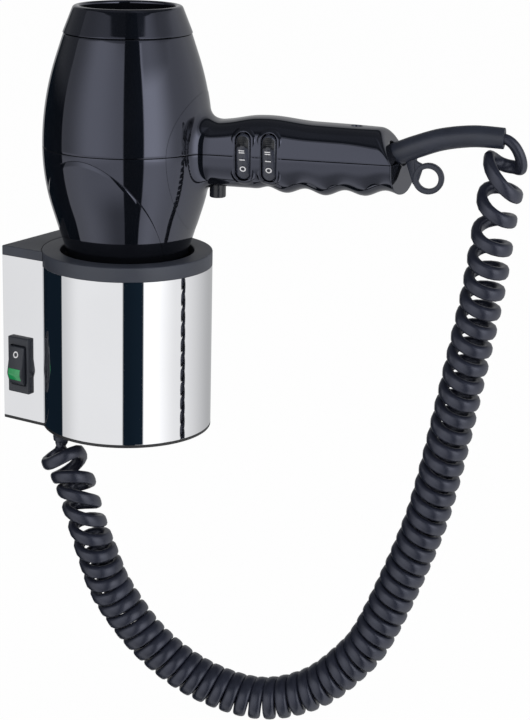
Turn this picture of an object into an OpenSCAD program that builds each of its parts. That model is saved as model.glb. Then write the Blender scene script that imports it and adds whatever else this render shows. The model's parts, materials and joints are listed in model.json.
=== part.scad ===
// Wall holder with a hair dryer standing nozzle-down in its cup, tied to it by a spiral cord.
// Origin: middle of the wall plate's back face. X to the right, Y into the wall, Z up. Millimetres.

/* [Holder] */
// Overall height of the holder
holder_h = 102; // [90:1:130]
// Distance of the cup's axis from the wall
cup_y = 62; // [56:1:75]
// Width of the box that joins the cup to the wall
box_w = 70; // [60:1:80]
// Sheet thickness of the chrome shell
shell_t = 1.5; // [1:0.1:2.5]
// Height of the collar ring's outer band
collar_h = 8; // [6:0.5:12]
// Width of the collar's flat top
collar_w = 10.4; // [8:0.1:14]
// Gap between the dryer's barrel and the collar's mouth
mouth_gap = 3.2; // [2.4:0.1:6]
// Thickness of the collar's top flange
flange_t = 2.4; // [1.6:0.1:3.2]
// Thickness of the box's top cover
cover_t = 5.4; // [3:0.1:6]
// Thickness of the base plate
base_t = 1.8; // [1.2:0.1:4]
// Wall thickness of the inner cup
cup_t = 2; // [1.4:0.1:3]
// Depth of the well under the cup's seat
well_h = 24; // [12:1:30]
// Thickness of the rubber seat ring
seat_t = 1.5; // [1:0.1:3]

/* [Wall plate] */
// Thickness of the wall plate's rim that shows at the wall
rim_t = 1.5; // [1:0.1:3]
// Thickness of the wall plate's step inside the shell
step_t = 2.5; // [2:0.1:4]
// Diameter of the wall screw holes
wall_hole_d = 5; // [4:0.1:6]
// Distance between the screw holes across
wall_hole_dx = 40; // [30:1:44]
// Distance between the screw holes up the plate
wall_hole_dz = 66; // [50:1:72]
// Diameter of the cable entry
cable_hole_d = 14; // [10:0.5:16]
// Height of the cable entry above the plate's middle
cable_z = -27; // [-32:0.5:-18]

/* [Power switch] */
// Width of the switch bezel along the wall box
bezel_w = 15; // [14:0.5:18]
// Height of the switch bezel
bezel_h = 32.6; // [28:0.2:36]
// How far the bezel stands out of the box
bezel_out = 3.6; // [2:0.1:5]
// Height of the bezel's middle above the holder's middle
bezel_z = -17; // [-20:0.2:0]
// Distance of the bezel's middle from the wall
bezel_y = 12.8; // [12:0.1:16]
// Width of the power rocker
rocker_w = 10.2; // [9:0.1:10.6]
// Height of the power rocker
rocker_h = 22.4; // [18:0.2:24]
// How far the rocker's ridge stands out of the bezel
ridge_out = 3.3; // [2:0.1:4]

/* [Dryer barrel] */
// Largest diameter of the barrel, at the parting plane
barrel_d = 94.4; // [84:0.2:106]
// Height of the parting plane above the collar
seam_up = 59; // [56:0.5:66]
// Length of the rear housing above the parting plane
rear_len = 62; // [58:0.5:66]
// Length of the intake ring
ring_len = 15; // [12:0.5:18]
// Length of the front housing below the parting plane
front_len = 84; // [80:0.5:88]
// Radius of the rear half's side curve
rear_arc_r = 160; // [140:1:200]
// Stretch of the rear half that is curved, before the straight taper
rear_arc_len = 50; // [40:1:55]
// Radius of the front half's side curve
front_arc_r = 120; // [110:1:140]
// Stretch of the front half that is curved, before the straight taper
front_arc_len = 36; // [30:1:40]
// Wall thickness of the dryer's housings
skin_t = 2.2; // [1.6:0.1:2.8]
// Width of the intake's rim
intake_rim = 5; // [4.5:0.1:8]

/* [Handle] */
// Angle of the handle from straight out of the wall
handle_turn = 18; // [-30:1:30]
// Distance of the handle's end from the barrel's axis
handle_end = 153; // [150:0.5:158]
// Width of the handle
handle_w = 34; // [32:0.5:38]
// Height of the handle above the parting plane
handle_up = 18.5; // [17.5:0.1:20]
// Depth of the handle below the parting plane
handle_down = 19.2; // [18:0.1:21]
// Depth of the finger scallops, from the middle line
scallop = 1.5; // [0.5:0.1:2.5]
// Distance between the finger scallops
scallop_pitch = 21.6; // [19:0.1:23]
// Lean of the end face, as run over rise
end_lean = 0.235; // [0:0.005:0.3]
// Spread of the handle's root on the barrel, upward
root_up = 20; // [10:0.5:24]
// Spread of the handle's root on the barrel, downward
root_down = 26; // [14:0.5:28]
// Spread of the handle's root on the barrel, sideways
root_side = 14; // [8:0.5:16]

/* [Handle switches] */
// Distance of the first rocker from the barrel's axis
first_rocker = 70.4; // [68:0.2:74]
// Distance between the two rockers
rocker_pitch = 14.3; // [13:0.1:16]
// Width of a rocker's bezel
pill_w = 10.6; // [9:0.1:12]
// Height of a rocker's bezel
pill_h = 29; // [26:0.2:30]
// Rim of the bezel round the rocker
pill_rim = 1.1; // [0.8:0.1:1.6]
// How far a rocker's bezel stands out of the handle
pill_out = 0.7; // [0.3:0.1:1.2]
// Tilt of a rocker at rest, pressed at its lower end
rocker_tilt = 9; // [6:0.5:11]
// Distance of the push button from the barrel's axis
button_s = 52.3; // [50:0.1:55]
// Diameter of the push button
button_d = 9; // [7:0.1:10]
// How far the push button stands out below the handle
button_out = 4.5; // [3.5:0.1:6]
// Travel of the push button
button_travel = 3; // [1.5:0.1:3.2]

/* [Sleeve and cord] */
// Diameter of the bend sleeve at the handle
sleeve_d = 12.8; // [10:0.1:14]
// Diameter of the bend sleeve at its tip
sleeve_tip_d = 11.2; // [8:0.1:12]
// Outer diameter of the hanging eye
eye_d = 16.8; // [14:0.1:20]
// Bore of the hanging eye
eye_bore = 11; // [9:0.1:12]
// Thickness of the hanging eye
eye_t = 4; // [3:0.1:6]
// Diameter of the cord's wire
wire_d = 6.6; // [5:0.1:7]
// Outer diameter of the cord's spiral
spiral_d = 25; // [22:0.5:28]
// How far the spiral hangs below the gland's boot
loop_drop = 147; // [120:1:160]

/* [Hidden] */
$fn = 64;
// Small overlap that lets a cut run past the face it opens
eps = 0.1;
// Gap between a piece and the seat that carries it
seat_gap = 0.3;
// Gap between two fixed pieces that slip together
slip = 0.15;
// Gap round a rocker in its window, and beyond the circle that its ends swing on
rocker_gap = 0.5;
swing_gap = 0.3;
// Gap at the end of a pivot pin
pin_end_gap = 0.2;
// Radial gap of a pin or a shaft in its bore
run_gap = 0.05;

top_z = holder_h / 2;
base_z = -holder_h / 2;
// Where the chrome wall starts above the base plate
shell_z = base_z + base_t;

barrel_r = barrel_d / 2;
seam_z = top_z + seam_up;
nozzle_z = seam_z - front_len;
// Top of the cup's ledge, under the seat ring and the dryer's nozzle
ledge_z = nozzle_z - seat_gap - seat_t;
well_z = ledge_z - cup_t - well_h;

// Radius lost along a side curve of radius r that turns into a straight taper after length l
function side_drop(t, r, l) =
    t < l
        ? r - sqrt(r * r - t * t)
        : r - sqrt(r * r - l * l) + (t - l) * l / sqrt(r * r - l * l);

// Radius of the barrel at a height above the parting plane
function barrel_at(t) =
    barrel_r - (t >= 0 ? side_drop(t, rear_arc_r, rear_arc_len) : side_drop(-t, front_arc_r, front_arc_len));

nozzle_r = barrel_at(-front_len) - skin_t;
mouth_r = barrel_at(-seam_up) + mouth_gap;
holder_r = mouth_r + collar_w;

// Stations along the barrel's outline, a few millimetres apart
function stations(from, to, n) = [for (i = [0:n]) from + (to - from) * i / n];

// Closed solid between rings of points that all have the same number of points
module loft(rings) {
    n = len(rings[0]);
    last = len(rings) - 1;
    sides = [
        for (i = [0:last - 1], j = [0:n - 1])
            each [
                [i * n + j, i * n + (j + 1) % n, (i + 1) * n + (j + 1) % n],
                [i * n + j, (i + 1) * n + (j + 1) % n, (i + 1) * n + j]
            ]
    ];
    first_cap = [for (j = [n - 1:-1:0]) j];
    last_cap = [for (j = [0:n - 1]) last * n + j];
    polyhedron([for (r = rings) each r], concat([first_cap], sides, [last_cap]), convexity = 6);
}

// Round tube swept along points of a vertical plane, given as [distance, height]
function tube_turn(path, i) =
    let (a = path[max(i - 1, 0)], b = path[min(i + 1, len(path) - 1)]) atan2(b[1] - a[1], b[0] - a[0]);

// Smooth curve through given points, with a number of steps from each point to the next
function smooth_at(a, b, c, d, u) =
    b + u * (c - a) / 2 + u * u * (a - 2.5 * b + 2 * c - d / 2) + u * u * u * (1.5 * b - a / 2 - 1.5 * c + d / 2);
function smooth_line(knots, steps) =
    let (last = len(knots) - 1)
        [
            for (i = [0:last - 1], k = [0:steps - 1])
                smooth_at(knots[max(i - 1, 0)], knots[i], knots[i + 1], knots[min(i + 2, last)], k / steps),
            knots[last]
        ];

module swept_tube(path, radii, sides) {
    loft([
        for (i = [0:len(path) - 1])
            let (turn = tube_turn(path, i), r = radii[i])
                [
                    for (j = [0:sides - 1])
                        let (a = 360 * j / sides, off = r * cos(a))
                            [path[i][0] - off * sin(turn), r * sin(a), path[i][1] + off * cos(turn)]
                ]
    ]);
}

// Flat disc with a round hole
module washer(outer_r, inner_r, h) {
    difference() {
        cylinder(r = outer_r, h = h);
        translate([0, 0, -eps]) cylinder(r = inner_r, h = h + 2 * eps);
    }
}

// Box set by its middle in X and Y, standing on a height
module block(size, at) {
    translate([at[0] - size[0] / 2, at[1] - size[1] / 2, at[2]]) cube(size);
}

// Frame of the cup: its axis stands at the origin
module at_cup(z = 0) {
    translate([0, -cup_y, z]) children();
}

// Frame of the dryer: barrel axis up, handle along X, parting plane at height 0
module in_dryer() {
    at_cup(seam_z) rotate([0, 0, handle_turn - 90]) children();
}

// Plan of the holder, a round cup joined to a box, as a solid between two heights
module holder_plan(inset, back, z_low, z_high) {
    at_cup(z_low) cylinder(r = holder_r - inset, h = z_high - z_low);
    block([box_w - 2 * inset, cup_y - back, z_high - z_low], [0, -(cup_y + back) / 2, z_low]);
}

// Wall plate: rim flush with the shell, step inside it, lugs for the base screws
lug_d = 8;
lug_h = 14;
lug_bore_h = 12;
lug_x = box_w / 2 - shell_t - lug_d / 2 - 3;
lug_y = rim_t + step_t + lug_d / 2;
base_screw_d = 3;

module wall_plate() {
    plate_z = shell_z;
    plate_h = top_z - cover_t - plate_z;
    step_w = box_w - 2 * shell_t - 2 * slip;
    color("dimgray")
        difference() {
            union() {
                block([box_w, rim_t, plate_h], [0, -rim_t / 2, plate_z]);
                block([step_w, step_t + eps, plate_h], [0, -rim_t - (step_t - eps) / 2, plate_z]);
                for (side = [-1, 1])
                    block([lug_d, lug_d + eps, lug_h], [side * lug_x, -lug_y + eps / 2, plate_z]);
            }
            for (x = [-1, 1], z = [-1, 1])
                translate([x * wall_hole_dx / 2, eps, z * wall_hole_dz / 2])
                    rotate([90, 0, 0]) cylinder(d = wall_hole_d, h = rim_t + step_t + 2 * eps);
            translate([0, eps, cable_z]) rotate([90, 0, 0]) cylinder(d = cable_hole_d, h = rim_t + step_t + 2 * eps);
            for (side = [-1, 1])
                translate([side * lug_x, -lug_y, plate_z - eps])
                    cylinder(d = base_screw_d + 2 * run_gap, h = lug_bore_h + eps);
        }
}

// Chrome wrap round the cup and along both sides of the box
module holder_shell() {
    wall_top = top_z - collar_h;
    box_top = top_z - cover_t;
    color("silver")
        difference() {
            union() {
                at_cup(shell_z) cylinder(r = holder_r, h = wall_top - shell_z);
                block([box_w, cup_y - rim_t, box_top - shell_z], [0, -(cup_y + rim_t) / 2, shell_z]);
            }
            holder_plan(shell_t, -eps, shell_z - eps, box_top + eps);
            at_cup(wall_top) cylinder(r = holder_r + slip, h = box_top - wall_top + eps);
            block(
                [4 * shell_t, bezel_w - 2 * bezel_lip + 2 * slip, bezel_h - 2 * bezel_lip + 2 * slip],
                [-box_w / 2, -bezel_y, bezel_z - bezel_h / 2 + bezel_lip - slip]
            );
        }
}

// Plate over the box, scooped to the collar
module top_cover() {
    color("dimgray")
        difference() {
            block([box_w, cup_y, cover_t], [0, -cup_y / 2, top_z - cover_t]);
            at_cup(top_z - cover_t - eps) cylinder(r = holder_r + slip, h = cover_t + 2 * eps);
        }
}

// Collar: outer band, broad flat top and a lip into the mouth, with eased outer edges
band_t = 2.4;
lip_h = 5;
edge_r = 0.8;

module collar_ring() {
    color("dimgray")
        at_cup()
            rotate_extrude()
                polygon([
                    [mouth_r, top_z - lip_h],
                    [mouth_r + band_t, top_z - lip_h],
                    [mouth_r + band_t, top_z - flange_t],
                    [holder_r - band_t, top_z - flange_t],
                    [holder_r - band_t, top_z - collar_h],
                    [holder_r, top_z - collar_h],
                    for (a = [0:15:90])
                        [holder_r - edge_r + edge_r * cos(a), top_z - edge_r + edge_r * sin(a)],
                    for (a = [90:15:180])
                        [mouth_r + edge_r + edge_r * cos(a), top_z - edge_r + edge_r * sin(a)]
                ]);
}

// Cup: flange under the collar, tapered wall, ledge for the nozzle and a round well below it
cup_top_z = top_z - lip_h;
ledge_r = barrel_at(-front_len) + 4;
well_r = nozzle_r - 1.5;

module inner_cup() {
    color([0.1, 0.1, 0.11])
        at_cup()
            rotate_extrude()
                polygon([
                    [well_r, well_z],
                    [well_r + cup_t, well_z],
                    [well_r + cup_t, ledge_z - cup_t],
                    [ledge_r + cup_t, ledge_z - cup_t],
                    [mouth_r + cup_t, cup_top_z - cup_t],
                    [holder_r - band_t - slip, cup_top_z - cup_t],
                    [holder_r - band_t - slip, cup_top_z],
                    [mouth_r, cup_top_z],
                    [ledge_r, ledge_z],
                    [well_r, ledge_z]
                ]);
}

// Round plate that closes the well
module well_floor() {
    color([0.1, 0.1, 0.11]) at_cup(well_z - cup_t) cylinder(r = well_r + cup_t, h = cup_t);
}

// Rubber ring on the ledge, under the nozzle's rim
module seat_ring() {
    color([0.08, 0.08, 0.08])
        at_cup(ledge_z) washer(barrel_at(-front_len) + 2, well_r + 0.5, seat_t);
}

// Thin dark plate under the holder, with the gland's hole
gland_x = 10 - box_w / 2;
gland_back = 28;
gland_y = gland_back - cup_y;
gland_neck_r = 5;
gland_hole_r = gland_neck_r + slip;

module base_plate() {
    color([0.15, 0.15, 0.16])
        difference() {
            holder_plan(0, 0, base_z, shell_z);
            translate([gland_x, gland_y, base_z - eps]) cylinder(r = gland_hole_r, h = base_t + 2 * eps);
            for (side = [-1, 1])
                translate([side * lug_x, -lug_y, base_z - eps])
                    cylinder(d = base_screw_d + 2 * slip, h = base_t + 2 * eps);
        }
}

// Two screws up through the base plate into the wall plate's lugs
base_head_h = 1.6;
base_screw_reach = base_t + lug_bore_h - 2;

module base_screws() {
    color("silver")
        for (side = [-1, 1])
            translate([side * lug_x, -lug_y, base_z - base_head_h]) {
                cylinder(d = 2 * base_screw_d, h = base_head_h);
                cylinder(d = base_screw_d, h = base_head_h + base_screw_reach);
            }
}

// Power switch on the box's left side. Its own frame: X out of the box, Y to the wall, Z up
bezel_lip = 1.4;
switch_deep = 15;
window_w = rocker_w + 2 * rocker_gap;
power_pin_r = 1.2;
power_pin_l = 0.8;
// Depth of the rocker's pivot behind the bezel's face
power_pivot = bezel_out - 1.4;
rocker_half = rocker_h / 2;
window_h = 2 * (norm([rocker_half, power_pivot]) + swing_gap);
// Depth of the rocker's well behind the bezel's face
power_well = 9;

module at_power_switch() {
    translate([-box_w / 2, -bezel_y, bezel_z]) mirror([1, 0, 0]) children();
}

module power_switch_body() {
    color([0.12, 0.12, 0.13])
        at_power_switch()
            difference() {
                union() {
                    block([bezel_out, bezel_w, bezel_h], [bezel_out / 2, 0, -bezel_h / 2]);
                    block(
                        [switch_deep + eps, bezel_w - 2 * bezel_lip, bezel_h - 2 * bezel_lip],
                        [(eps - switch_deep) / 2, 0, bezel_lip - bezel_h / 2]
                    );
                }
                block([2 * power_well, window_w, window_h], [bezel_out, 0, -window_h / 2]);
                translate([bezel_out - power_pivot, 0, 0])
                    rotate([90, 0, 0])
                        cylinder(r = power_pin_r + run_gap, h = window_w + 2 * power_pin_l, center = true);
            }
}

// Rocker seen from its side, as [out of the bezel, up]: its ridge lies low on its face
ridge_z = -rocker_half * 0.42;
rocker_back = 5.5;
rocker_edge = 1.2;
rocker_top_out = 0.3;
rocker_end_t = 2;
rocker_outline = [
    [-rocker_back, -rocker_half / 2],
    [-rocker_end_t, -rocker_half],
    [0, -rocker_half],
    [rocker_edge, -rocker_half + rocker_edge],
    [ridge_out, ridge_z],
    [rocker_top_out, rocker_half],
    [-rocker_end_t, rocker_half],
    [-rocker_back, rocker_half / 2]
];

module power_rocker() {
    color([0.12, 0.12, 0.13])
        at_power_switch()
            translate([bezel_out, 0, 0])
                difference() {
                    union() {
                        rotate([90, 0, 0])
                            linear_extrude(rocker_w, center = true) polygon(rocker_outline);
                        translate([-power_pivot, 0, 0])
                            rotate([90, 0, 0])
                                cylinder(
                                    r = power_pin_r,
                                    h = window_w + 2 * (power_pin_l - pin_end_gap),
                                    center = true
                                );
                    }
                    lens_pocket(slip);
                }
}

// Lens let into the rocker's ridge
lens_w = 8.4;
lens_h = 6.4;
lens_deep = 1.6;

module lens_pocket(gap) {
    block(
        [2 * lens_deep + ridge_out, lens_w + 2 * gap, lens_h + 2 * gap],
        [3 * ridge_out / 2, 0, ridge_z - lens_h / 2 - gap]
    );
}

module power_lens() {
    color([0.1, 0.6, 0.25])
        at_power_switch()
            translate([bezel_out, 0, 0])
                intersection() {
                    lens_pocket(0);
                    rotate([90, 0, 0]) linear_extrude(rocker_w, center = true) polygon(rocker_outline);
                }
}

// Three-way terminal block on the wall plate, for the mains wires that come through it
terminal_w = 30;
terminal_d = 12;
terminal_h = 14;
terminal_hole_d = 4;
terminal_hole_deep = 5;
terminal_y = -rim_t - step_t - terminal_d;
terminal_x = 5;
terminal_z = cable_z + cable_hole_d / 2 + 4;

module terminal_block() {
    color("ivory")
        difference() {
            block([terminal_w, terminal_d, terminal_h], [terminal_x, terminal_y + terminal_d / 2, terminal_z]);
            for (i = [-1:1])
                translate([terminal_x + i * terminal_w / 3, terminal_y - eps, terminal_z + terminal_h / 2])
                    rotate([-90, 0, 0]) cylinder(d = terminal_hole_d, h = terminal_hole_deep);
        }
}

// Gland: flange above the base plate, neck through it and a tapered boot below it
boot_h = 10;
boot_top_r = 6.5;
boot_tip_r = 4.6;
gland_flange_r = 8;
gland_flange_t = 2.5;

module cord_gland() {
    color([0.12, 0.12, 0.12])
        translate([gland_x, gland_y, 0])
            rotate_extrude()
                polygon([
                    [wire_d / 2, base_z - boot_h],
                    [boot_tip_r, base_z - boot_h],
                    [boot_top_r, base_z],
                    [gland_neck_r, base_z],
                    [gland_neck_r, shell_z],
                    [gland_flange_r, shell_z],
                    [gland_flange_r, shell_z + gland_flange_t],
                    [wire_d / 2, shell_z + gland_flange_t]
                ]);
}

// Solid of revolution of the barrel between two heights, set in from its skin
module barrel_solid(inset, low, high, n) {
    rotate_extrude($fn = 72)
        polygon(concat(
            [[0, low]],
            [for (t = stations(low, high, n)) [barrel_at(t) - inset, t]],
            [[0, high]]
        ));
}

// Handle outline: how far the skin lies above, below and beside its axis at a distance from the barrel
root_from = barrel_r - 13.2;
root_to = barrel_r + 12.8;
scallop_from = root_to + 12;
scallop_ease = 12;
first_scallop = 32;
scallop_peak = root_to + first_scallop;
handle_taper = 0.025;
end_taper = 0.05;
end_round = 3;
// The palm side rises from a neck at the barrel to a low hump and then falls toward the end
neck_drop = 3;
neck_run = 26;
neck_back = 12;
neck_from = root_to - neck_back;
hump_h = 1.5;
hump_run = 24;
hump_ahead = 22;
hump_at = root_to + hump_ahead;

function root_spread(s) = pow(max(0, (root_to - s) / (root_to - root_from)), 2);
function ease(x) = let (u = min(1, max(0, x))) u * u * (3 - 2 * u);
function handle_above(s) =
    handle_up - handle_taper * (s - scallop_peak) + root_up * root_spread(s)
    - neck_drop * (1 - ease((s - neck_from) / neck_run)) + hump_h * ease(1 - abs(s - hump_at) / hump_run);
function handle_below(s) =
    handle_down + root_down * root_spread(s) - end_taper * max(0, s - scallop_peak - scallop_pitch)
    + scallop * ease((s - scallop_from) / scallop_ease) * cos(360 * (s - scallop_peak) / scallop_pitch);
function handle_beside(s) = handle_w / 2 + root_side * root_spread(s);

// One ring of the handle: a rounded box section that turns oval and is sheared toward the slanting end face
section_sides = 28;
section_power = 2.8;
end_power = 2.2;
lean_run = 30;
end_skew = 0.17;
function end_share(s) = ease((s - handle_end) / lean_run + 1);
function signed_power(x, p) = sign(x) * pow(abs(x), 2 / p);
function handle_ring(s, inset) =
    let (
        up = handle_above(s) - inset,
        down = handle_below(s) - inset,
        half = handle_beside(s) - inset,
        share = end_share(s),
        p = section_power + (end_power - section_power) * share
    )
        [
            for (j = [0:section_sides - 1])
                let (
                    a = 360 * j / section_sides,
                    y = -signed_power(cos(a), p) * half,
                    z = signed_power(sin(a), p) * (sin(a) > 0 ? up : down)
                )
                    [s + share * (end_skew * y - end_lean * z), y, z]
        ];

// Handle as a loft, set in from its skin, with a rounded end
module handle_solid(inset) {
    straight_end = handle_end - end_round;
    root = [for (s = stations(root_from, root_to, 6)) handle_ring(s, inset)];
    grip = [for (s = stations(root_to + (straight_end - root_to) / 18, straight_end, 17)) handle_ring(s, inset)];
    round = [
        for (a = [30, 60, 85])
            handle_ring(
                straight_end + (end_round - inset) * sin(a),
                inset + (end_round - inset) * (1 - cos(a))
            )
    ];
    loft(concat(root, grip, round));
}

// Everything that is cut out of both halves of the dryer's skin
module skin_cuts() {
    handle_solid(skin_t);
    for (s = [first_rocker, first_rocker + rocker_pitch])
        pill(s, pill_w + 2 * slip, pill_h + 2 * slip, handle_w / 2 + eps);
    sleeve_hole();
}

// Rear half: barrel from the parting plane to the intake ring, with the palm half of the handle
module rear_housing() {
    color([0.03, 0.03, 0.04])
        in_dryer()
            difference() {
                union() {
                    difference() {
                        union() {
                            barrel_solid(0, 0, rear_len, 14);
                            intersection() {
                                handle_solid(0);
                                block([2 * handle_end, 4 * handle_w, barrel_d], [handle_end, 0, 0]);
                            }
                        }
                        barrel_solid(skin_t, -eps, rear_len + eps, 14);
                        skin_cuts();
                    }
                    translate([screw_s, 0, 0]) cylinder(r = boss_r, h = handle_above(screw_s) - skin_t / 2);
                }
                translate([screw_s, 0, screw_seat]) cylinder(r = screw_head_r + slip, h = 2 * handle_up);
                translate([screw_s, 0, -eps]) cylinder(d = screw_d + 2 * slip, h = 2 * handle_up);
            }
}

// Front half: barrel from the parting plane to the nozzle, with the finger half of the handle
module front_housing() {
    color([0.03, 0.03, 0.04])
        in_dryer()
            difference() {
                union() {
                    difference() {
                        union() {
                            barrel_solid(0, -front_len, 0, 16);
                            intersection() {
                                handle_solid(0);
                                block([2 * handle_end, 4 * handle_w, barrel_d], [handle_end, 0, -barrel_d]);
                            }
                        }
                        barrel_solid(skin_t, -front_len - eps, eps, 16);
                        skin_cuts();
                    }
                    translate([screw_s, 0, skin_t / 2 - handle_below(screw_s)])
                        cylinder(r = boss_r, h = handle_below(screw_s) - skin_t / 2);
                }
                translate([button_s, 0, -2 * handle_down]) cylinder(d = button_d + 2 * seat_gap, h = 2 * handle_down);
                translate([screw_s, 0, -screw_bite]) cylinder(d = screw_d + 2 * run_gap, h = 2 * handle_up);
            }
}

// Intake ring: cone that carries on the barrel's taper, rounded rim, bore and spigot into the rear housing
rim_r = 2;
grille_t = 2.2;
grille_lip = 2.5;
grille_bar = 1.6;
grille_hub_r = 4;
grille_rings = 5;
spigot_h = 4;
spigot_t = 2;
spigot_r = barrel_at(rear_len) - skin_t - slip;
grille_top = rear_len - spigot_h + grille_t;

module intake_ring() {
    rim_top = rear_len + ring_len;
    outer_top = barrel_at(rim_top - rim_r);
    bore_r = outer_top - intake_rim;
    color([0.03, 0.03, 0.04])
        in_dryer()
            rotate_extrude($fn = 72)
                polygon(concat(
                    [
                        [spigot_r - spigot_t, rear_len - spigot_h],
                        [spigot_r, rear_len - spigot_h],
                        [spigot_r, rear_len],
                        [barrel_at(rear_len), rear_len]
                    ],
                    [for (a = [0:15:90]) [outer_top - rim_r + rim_r * cos(a), rim_top - rim_r + rim_r * sin(a)]],
                    [for (a = [90:15:180]) [bore_r + rim_r + rim_r * cos(a), rim_top - rim_r + rim_r * sin(a)]],
                    [
                        [bore_r + grille_lip, grille_top + slip],
                        [spigot_r - spigot_t, grille_top + slip]
                    ]
                ));
}

// Grille at the bottom of the intake: a disc with rings of openings between bars through its middle
module ring_grille(outer_r, t, rings, bars) {
    gap = (outer_r - grille_hub_r) / rings;
    difference() {
        cylinder(r = outer_r, h = t);
        for (i = [1:rings])
            difference() {
                translate([0, 0, -eps])
                    washer(grille_hub_r + i * gap - grille_bar, grille_hub_r + (i - 1) * gap, t + 2 * eps);
                for (k = [0:bars - 1])
                    rotate([0, 0, 180 * k / bars]) block([3 * outer_r, grille_bar, 3 * t], [0, 0, -t]);
            }
    }
}

module intake_grille() {
    color([0.06, 0.06, 0.06])
        in_dryer()
            translate([0, 0, rear_len - spigot_h])
                ring_grille(spigot_r - spigot_t - slip, grille_t, grille_rings, 3);
}

// Duct round the fan with a cradle for the motor, held by vanes
duct_top = rear_len - spigot_h - 4;
duct_low = 6;
duct_t = 1.6;
duct_r = barrel_at(duct_top) - skin_t - seat_gap;
motor_r = 14;
motor_low = 8;
motor_high = 36;
cradle_t = 1.5;
vanes = 7;

module fan_duct() {
    cradle_r = motor_r + slip + cradle_t;
    vane_r = duct_r - duct_t / 2;
    color([0.85, 0.82, 0.74])
        in_dryer()
            translate([0, 0, duct_low]) {
                washer(duct_r, duct_r - duct_t, duct_top - duct_low);
                washer(cradle_r, motor_r + slip, motor_high - motor_low);
                for (i = [0:vanes - 1])
                    rotate([0, 0, 360 * i / vanes])
                        translate([cradle_r - cradle_t / 2, -cradle_t / 2, 0])
                            cube([vane_r - cradle_r + cradle_t / 2, cradle_t, motor_high - motor_low - 4]);
            }
}

// Motor: closed can with a bore for its shaft
shaft_r = 1.5;

module motor_can() {
    color("silver")
        in_dryer()
            difference() {
                translate([0, 0, motor_low]) cylinder(r = motor_r, h = motor_high - motor_low);
                translate([0, 0, motor_low - eps])
                    cylinder(r = shaft_r + run_gap, h = motor_high - motor_low + 2 * eps);
            }
}

hub_low = motor_high + 2;
hub_h = 12;

module motor_shaft() {
    color("gainsboro")
        in_dryer() translate([0, 0, motor_low + 1]) cylinder(r = shaft_r, h = hub_low + hub_h - motor_low);
}

// Impeller: hub pressed on the shaft, pitched blades trimmed to the duct
blades = 9;
blade_t = 1.4;
blade_pitch = 40;
tip_gap = 0.9;
hub_r = 10;

module impeller() {
    tip_r = duct_r - duct_t - tip_gap;
    color([0.2, 0.2, 0.22])
        in_dryer()
            translate([0, 0, hub_low])
                difference() {
                    union() {
                        cylinder(r = hub_r, h = hub_h);
                        intersection() {
                            cylinder(r = tip_r, h = hub_h);
                            for (i = [0:blades - 1])
                                rotate([0, 0, 360 * i / blades])
                                    translate([hub_r - 1, 0, hub_h / 2])
                                        rotate([blade_pitch, 0, 0])
                                            translate([0, -blade_t / 2, -hub_h])
                                                cube([tip_r, blade_t, 2 * hub_h]);
                        }
                    }
                    translate([0, 0, -eps]) cylinder(r = shaft_r, h = hub_h + 2 * eps);
                }
}

// Heat shield: tube that seats in the nozzle's taper
shield_low = 6 - front_len;
shield_high = 2;
shield_t = 0.6;
shield_r = barrel_at(shield_low) - skin_t - seat_gap;

module heat_shield() {
    color("silver")
        in_dryer() translate([0, 0, shield_low]) washer(shield_r, shield_r - shield_t, shield_high - shield_low);
}

// Crossed mica boards with wider tabs at both ends that stand in the shield
board_t = 0.8;
board_low = shield_low + 2;
board_high = shield_high - 4;
board_half = shield_r - shield_t - 4;
tab_half = shield_r - shield_t - seat_gap;
tab_h = 5;

module mica_boards() {
    tall = board_high - board_low;
    color("wheat")
        in_dryer()
            for (turn = [0, 90])
                rotate([0, 0, turn]) {
                    block([2 * board_half, board_t, tall], [0, 0, board_low]);
                    block([2 * tab_half, board_t, tab_h], [0, 0, board_low]);
                    block([2 * tab_half, board_t, tab_h], [0, 0, board_high - tab_h]);
                }
}

// Turns of the heating wire round the boards' edges
coil_turns = 9;
coil_wire_r = 0.7;
coil_clear = 3;

module heater_coils() {
    first = board_low + tab_h + coil_clear;
    pitch = (board_high - tab_h - coil_clear - first) / (coil_turns - 1);
    color("sienna")
        in_dryer()
            for (i = [0:coil_turns - 1])
                translate([0, 0, first + i * pitch])
                    rotate_extrude() translate([board_half + coil_wire_r + slip, 0]) circle(r = coil_wire_r, $fn = 24);
}

// Round thermostat and small fuse, each flat on a board
thermostat_d = 10;
thermostat_t = 4;
fuse_d = 3.4;
fuse_h = 11;
guard_z = board_high - tab_h - thermostat_d;

module thermostat() {
    color("gainsboro")
        in_dryer()
            translate([board_half / 2, board_t / 2, guard_z])
                rotate([-90, 0, 0]) cylinder(d = thermostat_d, h = thermostat_t);
}

module thermal_fuse() {
    color("gold")
        in_dryer()
            translate([-board_half / 2, (board_t + fuse_d) / 2 + slip, guard_z - fuse_h / 2])
                cylinder(d = fuse_d, h = fuse_h);
}

// Outlet grille just inside the nozzle
outlet_t = 3;
outlet_in = 1;
outlet_rings = 4;

module outlet_grille() {
    color([0.08, 0.08, 0.08])
        in_dryer()
            translate([0, 0, outlet_in - front_len])
                ring_grille(nozzle_r - slip, outlet_t, outlet_rings, 3);
}

// Rockers on the handle's left side. A pill is an upright slot shape through that side
// The handle's side is near a round arc of this radius where the rockers sit
side_arc_r = 40;

module pill(s, w, h, deep) {
    translate([s, 0, 0])
        rotate([90, 0, 0])
            linear_extrude(deep) {
                square([w, h - w], center = true);
                for (end = [-1, 1]) translate([0, end * (h - w) / 2]) circle(d = w);
            }
}

// Round face parallel to the handle, standing out of its side by a given height
module side_face(out) {
    translate([0, side_arc_r - handle_w / 2 - out, 0])
        rotate([0, 90, 0]) cylinder(r = side_arc_r, h = handle_end, $fn = 128);
}

// Depths below the handle's side: back of the switch, floor of the rocker's slot
handle_switch_deep = 13;
switch_floor = 8.5;
handle_pin_r = 1;
handle_pin_l = 0.7;
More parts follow.
